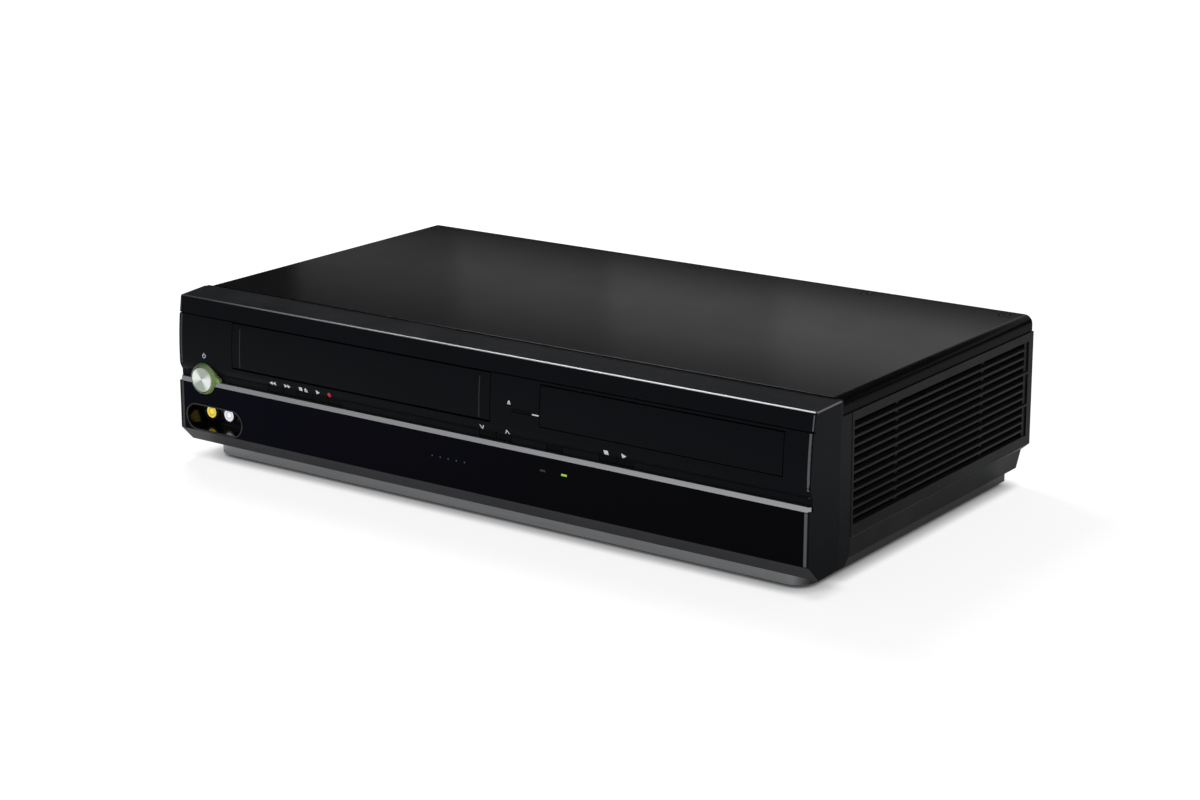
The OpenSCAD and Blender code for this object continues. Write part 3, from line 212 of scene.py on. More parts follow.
def hand_smudges():
    """Faint greasy patches that change how rough a surface looks."""
    tree, given, out = group("Hand smudges", [("Clean", "Float", 0.3), ("Smudged", "Float", 0.4)],
                             ["Roughness"])
    soft = node(tree, "TexNoise", {"Vector": placed(tree), "Scale": 24.0, "Detail": 5.0, "Roughness": 0.6})
    tree.links.new(ramp(tree, soft.outputs[0], 0.35, 0.65, given[0], given[1]), out["Roughness"])
    return tree


GRAIN, WEAR, DUST = moulded_grain(), edge_wear(), settled_dust()
BRUSH, SMUDGE = brush_lines(), hand_smudges()


def use(tree, shared, **inputs):
    """A shared group in a material, with this material's own values."""
    labels = {key.replace("_", " "): value for key, value in inputs.items()}
    return node(tree, "Group", labels, node_tree=shared).outputs


DUST_COLOUR = (0.28, 0.27, 0.26)
BUMP_HEIGHT = 0.0001        # metres
TURNED = (60.0, 60.0)       # stretch across the axis of a turned piece
ALONG_X = (30.0, 900.0, 900.0)


class Finish:
    """A material with its Principled shader, to which the shared effects are added."""

    def __init__(self, name, colour, roughness, metallic=0.0, specular=0.5, **sockets):
        self.material = bpy.data.materials.new(name)
        self.material.use_nodes = True
        self.tree = self.material.node_tree
        self.shader = self.tree.nodes["Principled BSDF"]
        self.colour = colour
        self.roughness = roughness
        self.shader.inputs["Metallic"].default_value = metallic
        self.shader.inputs["Specular IOR Level"].default_value = specular
        for key, value in sockets.items():
            self.shader.inputs[key.replace("_", " ")].default_value = value

    def tint(self, share, colour):
        """Turns the colour so far into another one, by a mask."""
        self.colour = blend_colour(self.tree, share, self.colour, colour)

    def smudged(self, amount=0.1):
        self.roughness = use(self.tree, SMUDGE, Clean=self.roughness,
                             Smudged=self.roughness + amount)[0]

    def grain(self, per_metre=1500.0, depth=0.06, shade=0.12):
        out = use(self.tree, GRAIN, Grain_per_metre=per_metre)
        if not isinstance(self.colour, bpy.types.NodeSocket):
            lighter = tuple(min(1, c * (1 + 2 * shade)) for c in self.colour)
            self.tint(out["Shade"], lighter)
        self.bump(out["Height"], depth)

    def brushed(self, stretch, depth, shade=0.1):
        out = use(self.tree, BRUSH, Stretch=stretch)
        self.tint(out["Shade"], tuple(c * (1 - shade) for c in self.colour))
        self.bump(out["Height"], depth)

    def grain_bump(self, per_metre, strength, distance=BUMP_HEIGHT):
        """The grain's height alone."""
        self.bump(use(self.tree, GRAIN, Grain_per_metre=per_metre)["Height"], strength, distance)

    def bump(self, height, strength, distance=BUMP_HEIGHT):
        made = node(self.tree, "Bump", {"Strength": strength, "Distance": distance, "Height": height})
        self.tree.links.new(made.outputs[0], self.shader.inputs["Normal"])

    def worn(self, colour, width=0.0006, amount=0.5):
        self.tint(use(self.tree, WEAR, Width=width, Amount=amount)[0], colour)

    def dusty(self, amount=0.1):
        self.tint(use(self.tree, DUST, Amount=amount)[0], DUST_COLOUR)

    def done(self):
        """Sets the colour and the roughness on the shader, and gives the material."""
        for value, socket in ((self.colour, "Base Color"), (self.roughness, "Roughness")):
            if isinstance(value, bpy.types.NodeSocket):
                self.tree.links.new(value, self.shader.inputs[socket])
            elif socket == "Base Color":
                self.shader.inputs[socket].default_value = (*value, 1)
            else:
                self.shader.inputs[socket].default_value = value
        return self.material


def moulded(name, colour, roughness, specular, grain=1500.0, depth=0.06, wear=0.4, dust=0.1):
    """Injection-moulded plastic, rubber and nylon, and sheet with a grained paint."""
    made = Finish(name, colour, roughness, specular=specular)
    made.grain(grain, depth)
    made.worn(tuple(c * 2.2 + 0.004 for c in colour), amount=wear)
    made.dusty(dust)
    made.smudged(0.08)
    return made.done()


def plated(name, colour, roughness, stretch=ALONG_X, depth=0.08):
    """Bare or plated sheet and turned metal."""
    made = Finish(name, colour, roughness, metallic=1.0)
    made.brushed(stretch, depth)
    made.worn(tuple(min(1, c * 1.3) for c in colour), amount=0.3)
    made.smudged(0.1)
    return made.done()


# ---------------------------------------------------------------- materials of the solids

SOCKET_MIDDLE_X, SOCKET_PITCH, SOCKET_Z, INSERT_RADIUS = -188.6, 14.0, 27.7, 3.7
REAR_FACE_Y, SLEEVE_START = 229.5, 3.0      # the sleeves start a little inside the rear face
# Where the green ring's painted shade at the left gives way to its painted light at the right
RING_PAINTED_SHADE_X, RING_PAINTED_LIGHT_X = -198.5, -188.0  # where the ring's shade starts and ends to change
SLOPE_TOP_Z = 19.1
YELLOW, WHITE, RED = (0.90, 0.76, 0.16), (0.84, 0.84, 0.90), (0.60, 0.03, 0.03)


def board_finish():
    """Circuit board: green lacquer over faint copper tracks."""
    made = Finish("board lacquer", (0.018, 0.085, 0.036), 0.35, specular=0.4)
    cells = node(made.tree, "TexBrick", {"Vector": placed(made.tree), "Scale": 160.0,
                                         "Mortar Size": 0.09, "Color1": (0, 0, 0, 1),
                                         "Color2": (0, 0, 0, 1), "Mortar": (1, 1, 1, 1)})
    made.tint(calc(made.tree, "MULTIPLY", cells.outputs["Color"], 0.5), (0.05, 0.17, 0.07))
    made.grain(900.0, 0.05)
    made.smudged(0.1)
    return made.done()


def socket_inserts():
    """Front sockets: yellow, white and red inserts in black housings, told apart by where they stand. The
    inserts glow a little in their own colours: painted light.
    """
    made = Finish("socket inserts", YELLOW, 0.3, specular=0.4, Emission_Strength=0.35)
    tree = made.tree
    half = SOCKET_PITCH / 2
    x, z = placed_along(tree, 0), placed_along(tree, 2)
    made.tint(calc(tree, "GREATER_THAN", x, (SOCKET_MIDDLE_X - half) * MM), WHITE)
    made.tint(calc(tree, "GREATER_THAN", x, (SOCKET_MIDDLE_X + half) * MM), RED)
    aside = calc(tree, "WRAP", calc(tree, "ADD", x, -SOCKET_MIDDLE_X * MM), half * MM, -half * MM)
    above = calc(tree, "SUBTRACT", z, SOCKET_Z * MM)
    radius = length_of(tree, node(tree, "CombineXYZ", {0: aside, 2: above}).outputs[0])
    made.tint(calc(tree, "GREATER_THAN", radius, INSERT_RADIUS * MM), (0.01, 0.01, 0.01))
    # painted light: the colours glow, so the inserts look brightly lit
    tree.links.new(made.colour, made.shader.inputs["Emission Color"])
    made.grain_bump(2000.0, 0.05)
    made.smudged(0.1)
    return made.done()


def rear_block():
    """Rear socket block: black moulding inside the case, plated sleeves outside."""
    made = Finish("rear socket block", (0.012, 0.012, 0.013), 0.35, specular=0.4)
    sleeve_y = (REAR_FACE_Y - SLEEVE_START + LIP_Y) * MM
    sleeve = calc(made.tree, "GREATER_THAN", placed_along(made.tree, 1), sleeve_y)
    made.tint(sleeve, (0.62, 0.60, 0.55))
    made.tree.links.new(sleeve, made.shader.inputs["Metallic"])
    made.bump(use(made.tree, BRUSH, Stretch=(3000.0, 40.0, 3000.0))["Height"], 0.08)
    made.worn((0.75, 0.73, 0.70), amount=0.3)
    made.smudged(0.1)
    return made.done()


def ring_finish():
    """Translucent green ring, painted darker to the left and lighter to the right: painted shade and
    painted light.
    """
    made = Finish("green ring", (0.13, 0.20, 0.085), 0.22, specular=0.5, Subsurface_Weight=0.35,
                  Coat_Weight=0.4, Coat_Roughness=0.08)
    # painted shade and light: the ring's colour is painted darker to the left and lighter to the right
    lighter = ramp(made.tree, placed_along(made.tree, 0), RING_PAINTED_SHADE_X * MM, RING_PAINTED_LIGHT_X * MM)
    made.tint(lighter, (0.27, 0.42, 0.13))
    made.shader.inputs["Subsurface Radius"].default_value = (0.6, 1.0, 0.4)
    made.shader.inputs["Subsurface Scale"].default_value = 0.002
    made.grain_bump(500.0, 0.02)
    made.smudged(0.08)
    return made.done()


def cover_finish():
    """Satin paint on the cover."""
    made = Finish("cover paint", (0.0033, 0.0033, 0.0035), 0.20, specular=0.02)
    made.grain(1100.0, 0.05, 0.04)
    made.worn((0.03, 0.03, 0.03), amount=0.35)
    made.dusty(0.04)
    made.smudged(0.02)
    return made.done()


def front_finish():
    """Satin blue-black front. The slope below the window, where it faces forward, is painted a paler grey:
    a painted reflection of the floor.
    """
    made = Finish("front plastic", (0.0034, 0.0039, 0.0057), 0.30, specular=0.05)
    made.grain()
    # painted reflection: the forward faces of the slope below the window are painted paler grey
    low = calc(made.tree, "LESS_THAN", placed_along(made.tree, 2), SLOPE_TOP_Z * MM)
    forward = calc(made.tree, "LESS_THAN", calc(made.tree, "ABSOLUTE", facing(made.tree, 0)), 0.5)
    made.tint(calc(made.tree, "MULTIPLY", low, forward), (0.045, 0.045, 0.050))
    made.worn((0.016, 0.017, 0.020), amount=0.4)
    made.dusty()
    made.smudged(0.08)
    return made.done()


def window_finish():
    """Glossy dark window, bluer to the left."""
    made = Finish("window", (0.0011, 0.0011, 0.0062), 0.07, specular=0.026)
    made.tint(ramp(made.tree, placed_along(made.tree, 0), -0.15, 0.08), (0.0018, 0.0018, 0.0033))
    made.grain_bump(60.0, 0.02, 0.0002)
    made.smudged(0.05)
    return made.done()


def pan_finish():
    """Plated steel. The sides are painted dark: painted shade, for the shade of the tub that they lie in.
    """
    made = Finish("pan steel", (0.37, 0.374, 0.385), 0.42, metallic=1.0)
    made.brushed(ALONG_X, 0.08)
    # painted shade: faces that turn sideways are painted dark
    sideways = calc(made.tree, "ABSOLUTE", facing(made.tree, 0))
    made.tint(ramp(made.tree, sideways, 0.35, 0.9), (0.07, 0.07, 0.072))
    made.worn((0.42, 0.42, 0.43), amount=0.3)
    made.smudged(0.1)
    return made.done()


def strip_finish():
    """Brushed metal of the trim strip."""
    made = Finish("brushed strip", (0.50, 0.51, 0.53), 0.34, metallic=1.0)
    made.brushed((8.0, 2500.0, 5200.0), 0.16, 0.14)
    made.smudged(0.06)
    return made.done()


# The solids' finishes, each under the name of its first solid
finishes = {
    "front_bezel": front_finish(),
    "chassis_tub": moulded("tub plastic", (0.0070, 0.0071, 0.0073), 0.38, 0.07, grain=1100.0,
                           depth=0.10),
    "base_pan": pan_finish(),
    "top_cover": cover_finish(),
    "rear_panel": moulded("rear panel paint", (0.010, 0.010, 0.011), 0.45, 0.3, grain=900.0),
    "rubber_feet": moulded("foot rubber", (0.012, 0.012, 0.012), 0.75, 0.2, grain=700.0, depth=0.2),
    "case_screws": moulded("blackened screws", (0.002, 0.002, 0.002), 0.35, 0.05, wear=0.1, dust=0.0),
    "display_window": window_finish(),
    "trim_strip": strip_finish(),
    "jack_cup": moulded("gloss black", (0.003, 0.003, 0.0032), 0.12, 0.3, grain=200.0, depth=0.02,
                        wear=0.1),
    "front_sockets": socket_inserts(),
    "power_ring": ring_finish(),
    "key_play": moulded("key plastic", (0.0018, 0.0018, 0.0020), 0.18, 0.04, depth=0.02, wear=0.05),
    "deck_plate": plated("deck steel", (0.52, 0.53, 0.54), 0.40),
    "lift_carriage": plated("bright steel", (0.62, 0.63, 0.64), 0.26),
    "lower_drum": plated("drum metal", (0.70, 0.71, 0.72), 0.18, (*TURNED, 6000.0), 0.12),
    "cam_gear": moulded("natural nylon", (0.66, 0.63, 0.55), 0.45, 0.4, grain=800.0, wear=0.2),
    "loading_motor": moulded("motor plastic", (0.012, 0.012, 0.013), 0.35, 0.3),
    "loader_frame": moulded("loader plastic", (0.009, 0.009, 0.010), 0.42, 0.2),
    "disc_tray": moulded("tray plastic", (0.010, 0.010, 0.011), 0.38, 0.2, depth=0.10),
    "motor_pulley": plated("turned brass", (0.62, 0.44, 0.16), 0.25, (*TURNED, 5000.0)),
    "circuit_boards": board_finish(),
    "front_board": moulded("dark board lacquer", (0.005, 0.010, 0.007), 0.40, 0.1, grain=900.0, depth=0.05),
    "rear_sockets": rear_block(),
    "drive_belts": moulded("belt rubber", (0.010, 0.010, 0.010), 0.65, 0.2, grain=600.0, depth=0.15),
}
# The other solids that take the same finish
shared_by = {
    "front_bezel": ["cassette_door", "tray_front"],
    "jack_cup": ["cord_gland"],
    "key_play": ["key_rewind", "key_forward", "key_stop_eject", "key_record", "key_tracking_down",
                 "key_tracking_up", "key_open_close", "key_source", "key_disc_stop", "key_disc_play"],
    "deck_plate": ["side_guides", "cassette_basket", "clamp_bridge"],
    "lift_carriage": ["capstan", "pinch_arm", "supply_post", "takeup_post", "loader_motor",
                      "guide_rods", "power_button"],
    "lower_drum": ["upper_drum", "fixed_heads"],
    "cam_gear": ["clutch_pulley", "supply_reel", "takeup_reel", "rack_gear", "pulley_gear",
                 "disc_clamp"],
    "loading_motor": ["turntable", "pickup_sled"],
    "loader_frame": ["traverse"],
    "drive_belts": ["pinch_roller"],
}


def dress(name, material):
    """Gives a solid its finish."""
    mesh = nodes[name].data
    mesh.materials.clear()
    mesh.materials.append(material)


for owner, material in finishes.items():
    for name in [owner, *shared_by.get(owner, [])]:
        dress(name, material)


SHARP_FROM = math.radians(28)


def soften(name, width):
    """Rounds a solid's sharp edges. Its own mesh stays as it is."""
    solid = nodes[name]
    weld = solid.modifiers.new("weld", "WELD")
    weld.merge_threshold = 1e-6
    bevel = solid.modifiers.new("rounded edges", "BEVEL")
    bevel.width = width * MM
    bevel.segments = 2
    bevel.limit_method = "ANGLE"
    bevel.angle_limit = SHARP_FROM
    bevel.miter_outer = "MITER_ARC"
    bevel.use_clamp_overlap = True
    weighted = solid.modifiers.new("even shading", "WEIGHTED_NORMAL")
    weighted.keep_sharp = True


# ---------------------------------------------------------------- pieces


SMOOTH_UP_TO = math.radians(35)


def add_piece(name, bm, body, material, smooth=False):
    """Makes a piece of the built faces, with their normals outwards, and names its body."""
    bmesh.ops.recalc_face_normals(bm, faces=bm.faces)
    mesh = bpy.data.meshes.new(name)
    bm.to_mesh(mesh)
    bm.free()
    made = bpy.data.objects.new(name, mesh)
    bpy.context.scene.collection.objects.link(made)
    mesh.materials.append(material)
    for face in mesh.polygons:
        face.use_smooth = smooth
    if smooth:
        mesh.set_sharp_from_angle(angle=SMOOTH_UP_TO)
    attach(made, body)
    return made


def lathe(name, centre, profile, body, material, steps=96):
    """A turned piece about an axis along Y through a centre (X, Z). The profile is a row of (radius, Y)."""
    bm = bmesh.new()
    rings = []
    for radius, y in profile:
        count = 1 if radius == 0 else steps
        rings.append([bm.verts.new(at(centre[0] + radius * math.cos(2 * math.pi * i / steps), y,
                                      centre[1] + radius * math.sin(2 * math.pi * i / steps)))
                      for i in range(count)])
    for a, b in zip(rings, rings[1:]):
        for i in range(steps):
            j = (i + 1) % steps
            corners = [a[i % len(a)], a[j % len(a)], b[j % len(b)], b[i % len(b)]]
            bm.faces.new(list(dict.fromkeys(corners)))
    return add_piece(name, bm, body, material, smooth=True)


# The front's face: a panel that bulges above its nose, a cove below it, and the window under the strip
NOSE_Y, NOSE_Z, BULGE_R, COVE_R = -3.5, 59.7, 201.4, 9.0
COVE_LOW_Z, STRIP_LOW_Z, WINDOW_LOW_Z = 53.9, 47.8, 19.3
WINDOW_TOP_Y, WINDOW_LOW_Y = -4.35, -4.9


def face_y(z):
    """Y of the front's face at a height: bulged panel, cove, or window."""
    if z >= NOSE_Z:
        return NOSE_Y + BULGE_R - math.sqrt(BULGE_R ** 2 - (z - NOSE_Z) ** 2)
    if z >= COVE_LOW_Z:
        return NOSE_Y + COVE_R - math.sqrt(COVE_R ** 2 - (z - NOSE_Z) ** 2)
    share = (STRIP_LOW_Z - z) / (STRIP_LOW_Z - WINDOW_LOW_Z)
    return WINDOW_TOP_Y + share * (WINDOW_LOW_Y - WINDOW_TOP_Y)


def inlay(name, outlines, body, material, proud=0.05, sunk=0.25):
    """Flat marks on the front, following its face. Each outline is a list of (X, Z)."""
    bm = bmesh.new()
    for outline in outlines:
        face = bm.faces.new([bm.verts.new((x, 0, z)) for x, z in outline])
        bmesh.ops.triangulate(bm, faces=[face])
    bmesh.ops.subdivide_edges(bm, edges=list(bm.edges), cuts=2, use_grid_fill=True)
    for vert in bm.verts:
        vert.co = at(vert.co.x, face_y(vert.co.z) - proud, vert.co.z)
    back = bmesh.ops.extrude_face_region(bm, geom=list(bm.faces))["geom"]
    for vert in (v for v in back if isinstance(v, bmesh.types.BMVert)):
        vert.co.y += (proud + sunk) * MM
    return add_piece(name, bm, body, material)


def box_outline(x, z, width, height):
    """A rectangle about its middle."""
    return [(x - width / 2, z - height / 2), (x + width / 2, z - height / 2),
            (x + width / 2, z + height / 2), (x - width / 2, z + height / 2)]


def pointer(x, z, width, height):
    """A triangle that points right, or left where the width is negative."""
    return [(x - width / 2, z - height / 2), (x + width / 2, z), (x - width / 2, z + height / 2)]


def round_outline(x, z, radius, steps=24):
    """A disc about its middle."""
    return [(x + radius * math.cos(2 * math.pi * i / steps), z + radius * math.sin(2 * math.pi * i / steps))
            for i in range(steps)]


def arc_outlines(x, z, radius, line, start, end, steps=28):
    """An arc of a given line width, from one angle to another in degrees, as short blocks."""
    inner, outer = radius - line / 2, radius + line / 2
    angles = [math.radians(start + (end - start) * i / steps) for i in range(steps + 1)]
    return [[(x + r * math.cos(a), z + r * math.sin(a))
             for r, a in ((inner, a0), (outer, a0), (outer, a1), (inner, a1))]
            for a0, a1 in zip(angles, angles[1:])]


def stroke(x0, z0, x1, z1, line):
    """A straight line of a given width."""
    dx, dz = x1 - x0, z1 - z0
    length = math.hypot(dx, dz)
    nx, nz = -dz / length * line / 2, dx / length * line / 2
    return [(x0 + nx, z0 + nz), (x0 - nx, z0 - nz), (x1 - nx, z1 - nz), (x1 + nx, z1 + nz)]


def print_ink(name, colour):
    """Printed ink."""
    made = Finish(name, colour, 0.5, specular=0.3)
    made.grain(2500.0, 0.04, 0.05)
    made.smudged(0.05)
    return made.done()


SIGN_Z, POWER_SIGN_X, POWER_SIGN_Z, SIGN_LINE = 56.8, -196.0, 64.9, 0.36


def eject_sign(x, z, size):
    """A triangle that points up, over a bar."""
    return [[(x - size / 2, z - size * 0.12), (x + size / 2, z - size * 0.12), (x, z + size * 0.5)],
            box_outline(x, z - size * 0.38, size, size * 0.22)]


def chevron(x, up):
    """Two strokes that meet in a point, up or down."""
    ends, point = (-1.1, 1.2) if up else (1.2, -1.1)
    return [stroke(x - 1.3, SIGN_Z + ends, x, SIGN_Z + point, 0.5),
            stroke(x, SIGN_Z + point, x + 1.3, SIGN_Z + ends, 0.5)]


def add_signs():
    """Signs above the keys, and the dash on the open key."""
    white_ink = print_ink("white ink", (0.90, 0.91, 0.92))
    red_ink = print_ink("red ink", (0.75, 0.03, 0.06))
    marks = {
        "sign_rewind": [pointer(x, SIGN_Z, -2.4, 2.3) for x in (-143.8, -141.4)],
        "sign_forward": [pointer(x, SIGN_Z, 2.4, 2.3) for x in (-132.4, -130.0)],
        "sign_stop": [box_outline(-121.1, SIGN_Z, 2.3, 2.2)],
        "sign_eject": eject_sign(-117.3, SIGN_Z, 2.6),
        "sign_play": [pointer(-107.9, SIGN_Z + 0.1, 2.8, 2.6)],
        "sign_tracking_down": chevron(9.9, up=False),
        "sign_tracking_up": chevron(26.9, up=True),
        "sign_disc_stop": [box_outline(91.8, SIGN_Z, 2.7, 2.5)],
        "sign_disc_play": [pointer(103.3, SIGN_Z, 3.0, 2.8)],
        "sign_open": eject_sign(28.4, 73.5, 2.2),
        "sign_power": [*arc_outlines(POWER_SIGN_X, POWER_SIGN_Z, 1.15, SIGN_LINE, 125, 415),
                       box_outline(POWER_SIGN_X, POWER_SIGN_Z + 0.9, SIGN_LINE, 1.5)],
    }
    for name, outlines in marks.items():
        inlay(name, outlines, "case", white_ink)
    inlay("sign_record", [round_outline(-99.6, SIGN_Z, 1.25)], "case", red_ink)
    inlay("open_key_dash", [box_outline(46.2, 69.3, 4.4, 0.7)], "case", white_ink)


add_signs()


LAMP_Z, LAMP_SIZE = 40.1, (3.6, 1.1)
DOT_FIRST_X, DOT_PITCH, DOT_Z, DOT_RADIUS, DOTS = -24.2, 5.65, 35.2, 0.45, 5


def lamp_finish(name, colour, strength):
    """A lens that glows in its own colour."""
    made = Finish(name, colour, 0.25, specular=0.4, Emission_Strength=strength)
    made.shader.inputs["Emission Color"].default_value = (*colour, 1)
    made.grain(900.0, 0.02, 0.2)
    return made.done()


def add_lamps():
    """Indicators in the window: one lit green, one unlit, and five faint dots of the display."""
    lit = lamp_finish("lit green lens", (0.34, 0.60, 0.06), 0.35)
    unlit = lamp_finish("unlit lens", (0.012, 0.014, 0.012), 0.0)
    dots = lamp_finish("display dots", (0.02, 0.055, 0.14), 0.25)
    inlay("disc_lamp", [box_outline(65.5, LAMP_Z, *LAMP_SIZE)], "case", lit)
    inlay("cassette_lamp", [box_outline(51.4, LAMP_Z, *LAMP_SIZE)], "case", unlit)
    outlines = [round_outline(DOT_FIRST_X + i * DOT_PITCH, DOT_Z, DOT_RADIUS, 12) for i in range(DOTS)]
    inlay("display_dots", outlines, "case", dots)


add_lamps()


KNOB_X, KNOB_Z, KNOB_R, STEM_R = -196.5, 51.1, 7.6, 3.3


def spun_finish():
    """Metal turned on a lathe: fine rings, and a painted highlight of two bright wedges."""
    made = Finish("spun metal", (0.42, 0.47, 0.41), 0.28, metallic=1.0, Anisotropic=0.6)
    tree = made.tree
    tangent = node(tree, "Tangent", direction_type="RADIAL", axis="Y").outputs[0]
    tree.links.new(tangent, made.shader.inputs["Tangent"])
    aside = calc(tree, "SUBTRACT", placed_along(tree, 0), KNOB_X * MM)
    above = calc(tree, "SUBTRACT", placed_along(tree, 2), KNOB_Z * MM)
    angle = calc(tree, "ARCTAN2", above, aside)
    # painted highlight: two bright wedges painted across the disc's middle, by angle about its axis
    highlight_wedges = calc(tree, "COSINE", calc(tree, "MULTIPLY_ADD", angle, 2.0, 0.5))
    made.tint(ramp(tree, highlight_wedges, -0.35, 0.75), (0.95, 0.97, 0.93))
    radius = length_of(tree, node(tree, "CombineXYZ", {0: aside, 1: above}).outputs[0])
    rings = node(tree, "TexNoise", {"W": radius, "Scale": 4200.0, "Detail": 2.0}, noise_dimensions="1D")
    made.bump(rings.outputs[0], 0.12)
    made.smudged(0.06)
    return made.done()


def add_power_knob():
    """Spun metal disc with a shallow dish and a turned rim, and the collar on its stem."""
    profile = [(0, -6.0), (2.5, -6.04), (4.8, -6.12), (6.3, -6.24), (6.8, -6.3), (7.15, -6.22), (7.4, -6.0),
               (KNOB_R, -5.7), (KNOB_R, -3.0), (STEM_R, -3.0), (STEM_R, 1.9), (STEM_R, 6.5), (0, 6.5)]
    centre = (KNOB_X, KNOB_Z)
    knob = lathe("power_knob", centre, profile, "power_key", spun_finish(), 128)
    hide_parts("power_button")
    flange = [(3.2, 2.6), (4.8, 2.6), (4.8, 3.6), (3.2, 3.6)]
    lathe("power_collar", centre, flange, "power_key", finishes["lift_carriage"])


add_power_knob()

REAR_FIRST_X, REAR_PITCH, REAR_Y = 72.4, 14.0, 227.7
REAR_ROWS = {31.0: ("yellow", "white", "red", "yellow"), 45.0: ("yellow", "white", "red", "red")}
RING_INNER, RING_OUTER, RING_FOOT, RING_HEIGHT = 4.7, 6.2, 6.3, 0.7


def add_rear_rings():
    """Coloured rings round the rear phono sockets: yellow, white and red."""
    inks = {"yellow": print_ink("yellow ring", (0.70, 0.48, 0.02)),
            "white": print_ink("white ring", (0.70, 0.70, 0.68)),
            "red": print_ink("red ring", (0.50, 0.02, 0.02))}
    top_y = REAR_Y + RING_HEIGHT
    profile = [(RING_INNER, REAR_Y), (RING_INNER, top_y), (RING_OUTER, top_y), (RING_FOOT, REAR_Y)]
    for row, (z, colours) in enumerate(REAR_ROWS.items()):
        for column, colour in enumerate(colours):
            x = REAR_FIRST_X + column * REAR_PITCH
            lathe(f"rear_ring_{row}_{column}", (x, z), profile, "case", inks[colour], 48)


add_rear_rings()


RIB_X = {"flap_rib_left": -167.4, "flap_rib_right": 8.2}
RIB_WIDTH, RIB_FIRST_Z, RIB_STEP, RIB_STEPS, RIB_PROUD = 0.7, 63.4, 2.5, 9, 0.12


def add_flap_ribs():
    """Two fine upright ribs near the ends of the flap, in short steps that follow its bulge. They are
    coloured lighter than the flap as a painted highlight.
    """
    # painted highlight: the ribs are coloured paler than the flap
    made = Finish("rib painted highlight", (0.020, 0.021, 0.024), 0.3, specular=0.2)
    made.grain()
    made.smudged(0.08)
    material = made.done()
    for name, x in RIB_X.items():
        steps = [box_outline(x, RIB_FIRST_Z + RIB_STEP * i, RIB_WIDTH, RIB_STEP) for i in range(RIB_STEPS)]
        inlay(name, steps, "flap", material, proud=RIB_PROUD)


add_flap_ribs()


CROWN, LINE_PROUD, LINE_SUNK = 0.06, 0.04, 0.4


def ribbon(name, stations, normal, across, half, material):
    """A fine crowned line that lies on an edge. It follows the stations, and faces along the normal."""
    normal, across = Vector(normal).normalized() * MM, Vector(across).normalized() * MM
    bm = bmesh.new()
    rings = []
    for station in stations:
        middle = at(*station)
        ring = [middle + across * half * t + normal * (LINE_PROUD + CROWN * (1 - t * t))
                for t in (-1, -0.6, -0.2, 0.2, 0.6, 1)]
        ring += [middle + across * half * t - normal * LINE_SUNK for t in (1, -1)]
        rings.append([bm.verts.new(place) for place in ring])
    count = len(rings[0])
    for a, b in zip(rings, rings[1:]):
        for i in range(count):
            bm.faces.new([a[i], a[(i + 1) % count], b[(i + 1) % count], b[i]])
    bm.faces.new(rings[0])
    bm.faces.new(rings[-1])
    return add_piece(name, bm, "case", material, smooth=True)


def edge_finish(name, left, right, start, end):
    """A painted highlight for an edge: its colour stands in for the light on it. Its shade changes from
    left to right between two places on X, in metres.
    """
    made = Finish(name, left, 0.28, specular=0.3)
    made.tint(ramp(made.tree, placed_along(made.tree, 0), start, end), right)
    made.grain_bump(1500.0, 0.03)
    made.smudged(0.06)
    return made.done()


FRONT_HALF = 215.6
LIP_HALF, LIP_TOP_Y, LIP_TOP_Z, LIP_STEPS = 215.2, 0.79, 97.79, 12
LIP_NORMAL, LIP_ACROSS = (0, -0.4226, 0.9063), (0, 0.9063, 0.4226)
# Lowest and highest Z of each end's painted highlight line, and half its width
END_EDGES = {"window": (19.6, 47.4, 1.3), "panel": (54.5, 87.4, 0.95), "cap": (88.8, 96.6, 0.35)}
END_STEPS, END_GAP, END_TURN = 8, 0.2, 0.06
CAP_START, CAP_RUN, CAP_HALF = (216.1, 0.8, 97.8), (1.2, 20.8, 1.1), 0.4


def add_edge_lines():
    """Painted highlight lines on the front's edges: the lip, both ends of the face, and the caps' side
    edges.
    """
    # painted highlights: pale lines on the edges, brighter to the right
    lip = edge_finish("lip painted highlight", (0.02, 0.021, 0.024), (0.62, 0.63, 0.65), -0.20, 0.17)
    stations = [(LIP_HALF * (2 * i / LIP_STEPS - 1), LIP_TOP_Y, LIP_TOP_Z) for i in range(LIP_STEPS + 1)]
    ribbon("lip_painted_highlight", stations, LIP_NORMAL, LIP_ACROSS, 0.5, lip)
    ends = edge_finish("end edges painted highlight", (0.030, 0.031, 0.033), (0.125, 0.127, 0.133), -0.05, 0.05)
    crest = edge_finish("cap edges painted highlight", (0.05, 0.051, 0.054), (0.22, 0.222, 0.228), -0.05, 0.05)
    for label, side in (("left", -1), ("right", 1)):
        normal, across = (side * END_TURN, -0.998, 0), (0.998, side * END_TURN, 0)
        for part, (low, high, half) in END_EDGES.items():
            x = side * (FRONT_HALF - half - END_GAP)
            heights = [low + (high - low) * i / END_STEPS for i in range(END_STEPS + 1)]
            stations = [(x, face_y(z) + half * END_TURN, z) for z in heights]
            ribbon(f"end_edge_{part}_{label}", stations, normal, across, half, ends)
        stations = [(side * (CAP_START[0] + CAP_RUN[0] * t), CAP_START[1] + CAP_RUN[1] * t,
                     CAP_START[2] + CAP_RUN[2] * t) for t in (0, 0.25, 0.5, 0.75, 1)]
        ribbon(f"cap_edge_{label}", stations, (side * 0.7, 0, 0.7), (side * 0.7, 0, -0.7), CAP_HALF, crest)


add_edge_lines()


SHADE_SHEET_X, SHADE_SHEET_THICK = 212.6, 0.5
# Y and Z round the sheet, with its corners cut off
SHADE_SHEET_OUTLINE = [(12.0, 28.0), (222.0, 28.0), (226.0, 32.0), (226.0, 80.0), (222.0, 84.0), (12.0, 84.0),
                  (9.0, 81.0), (9.0, 31.0)]


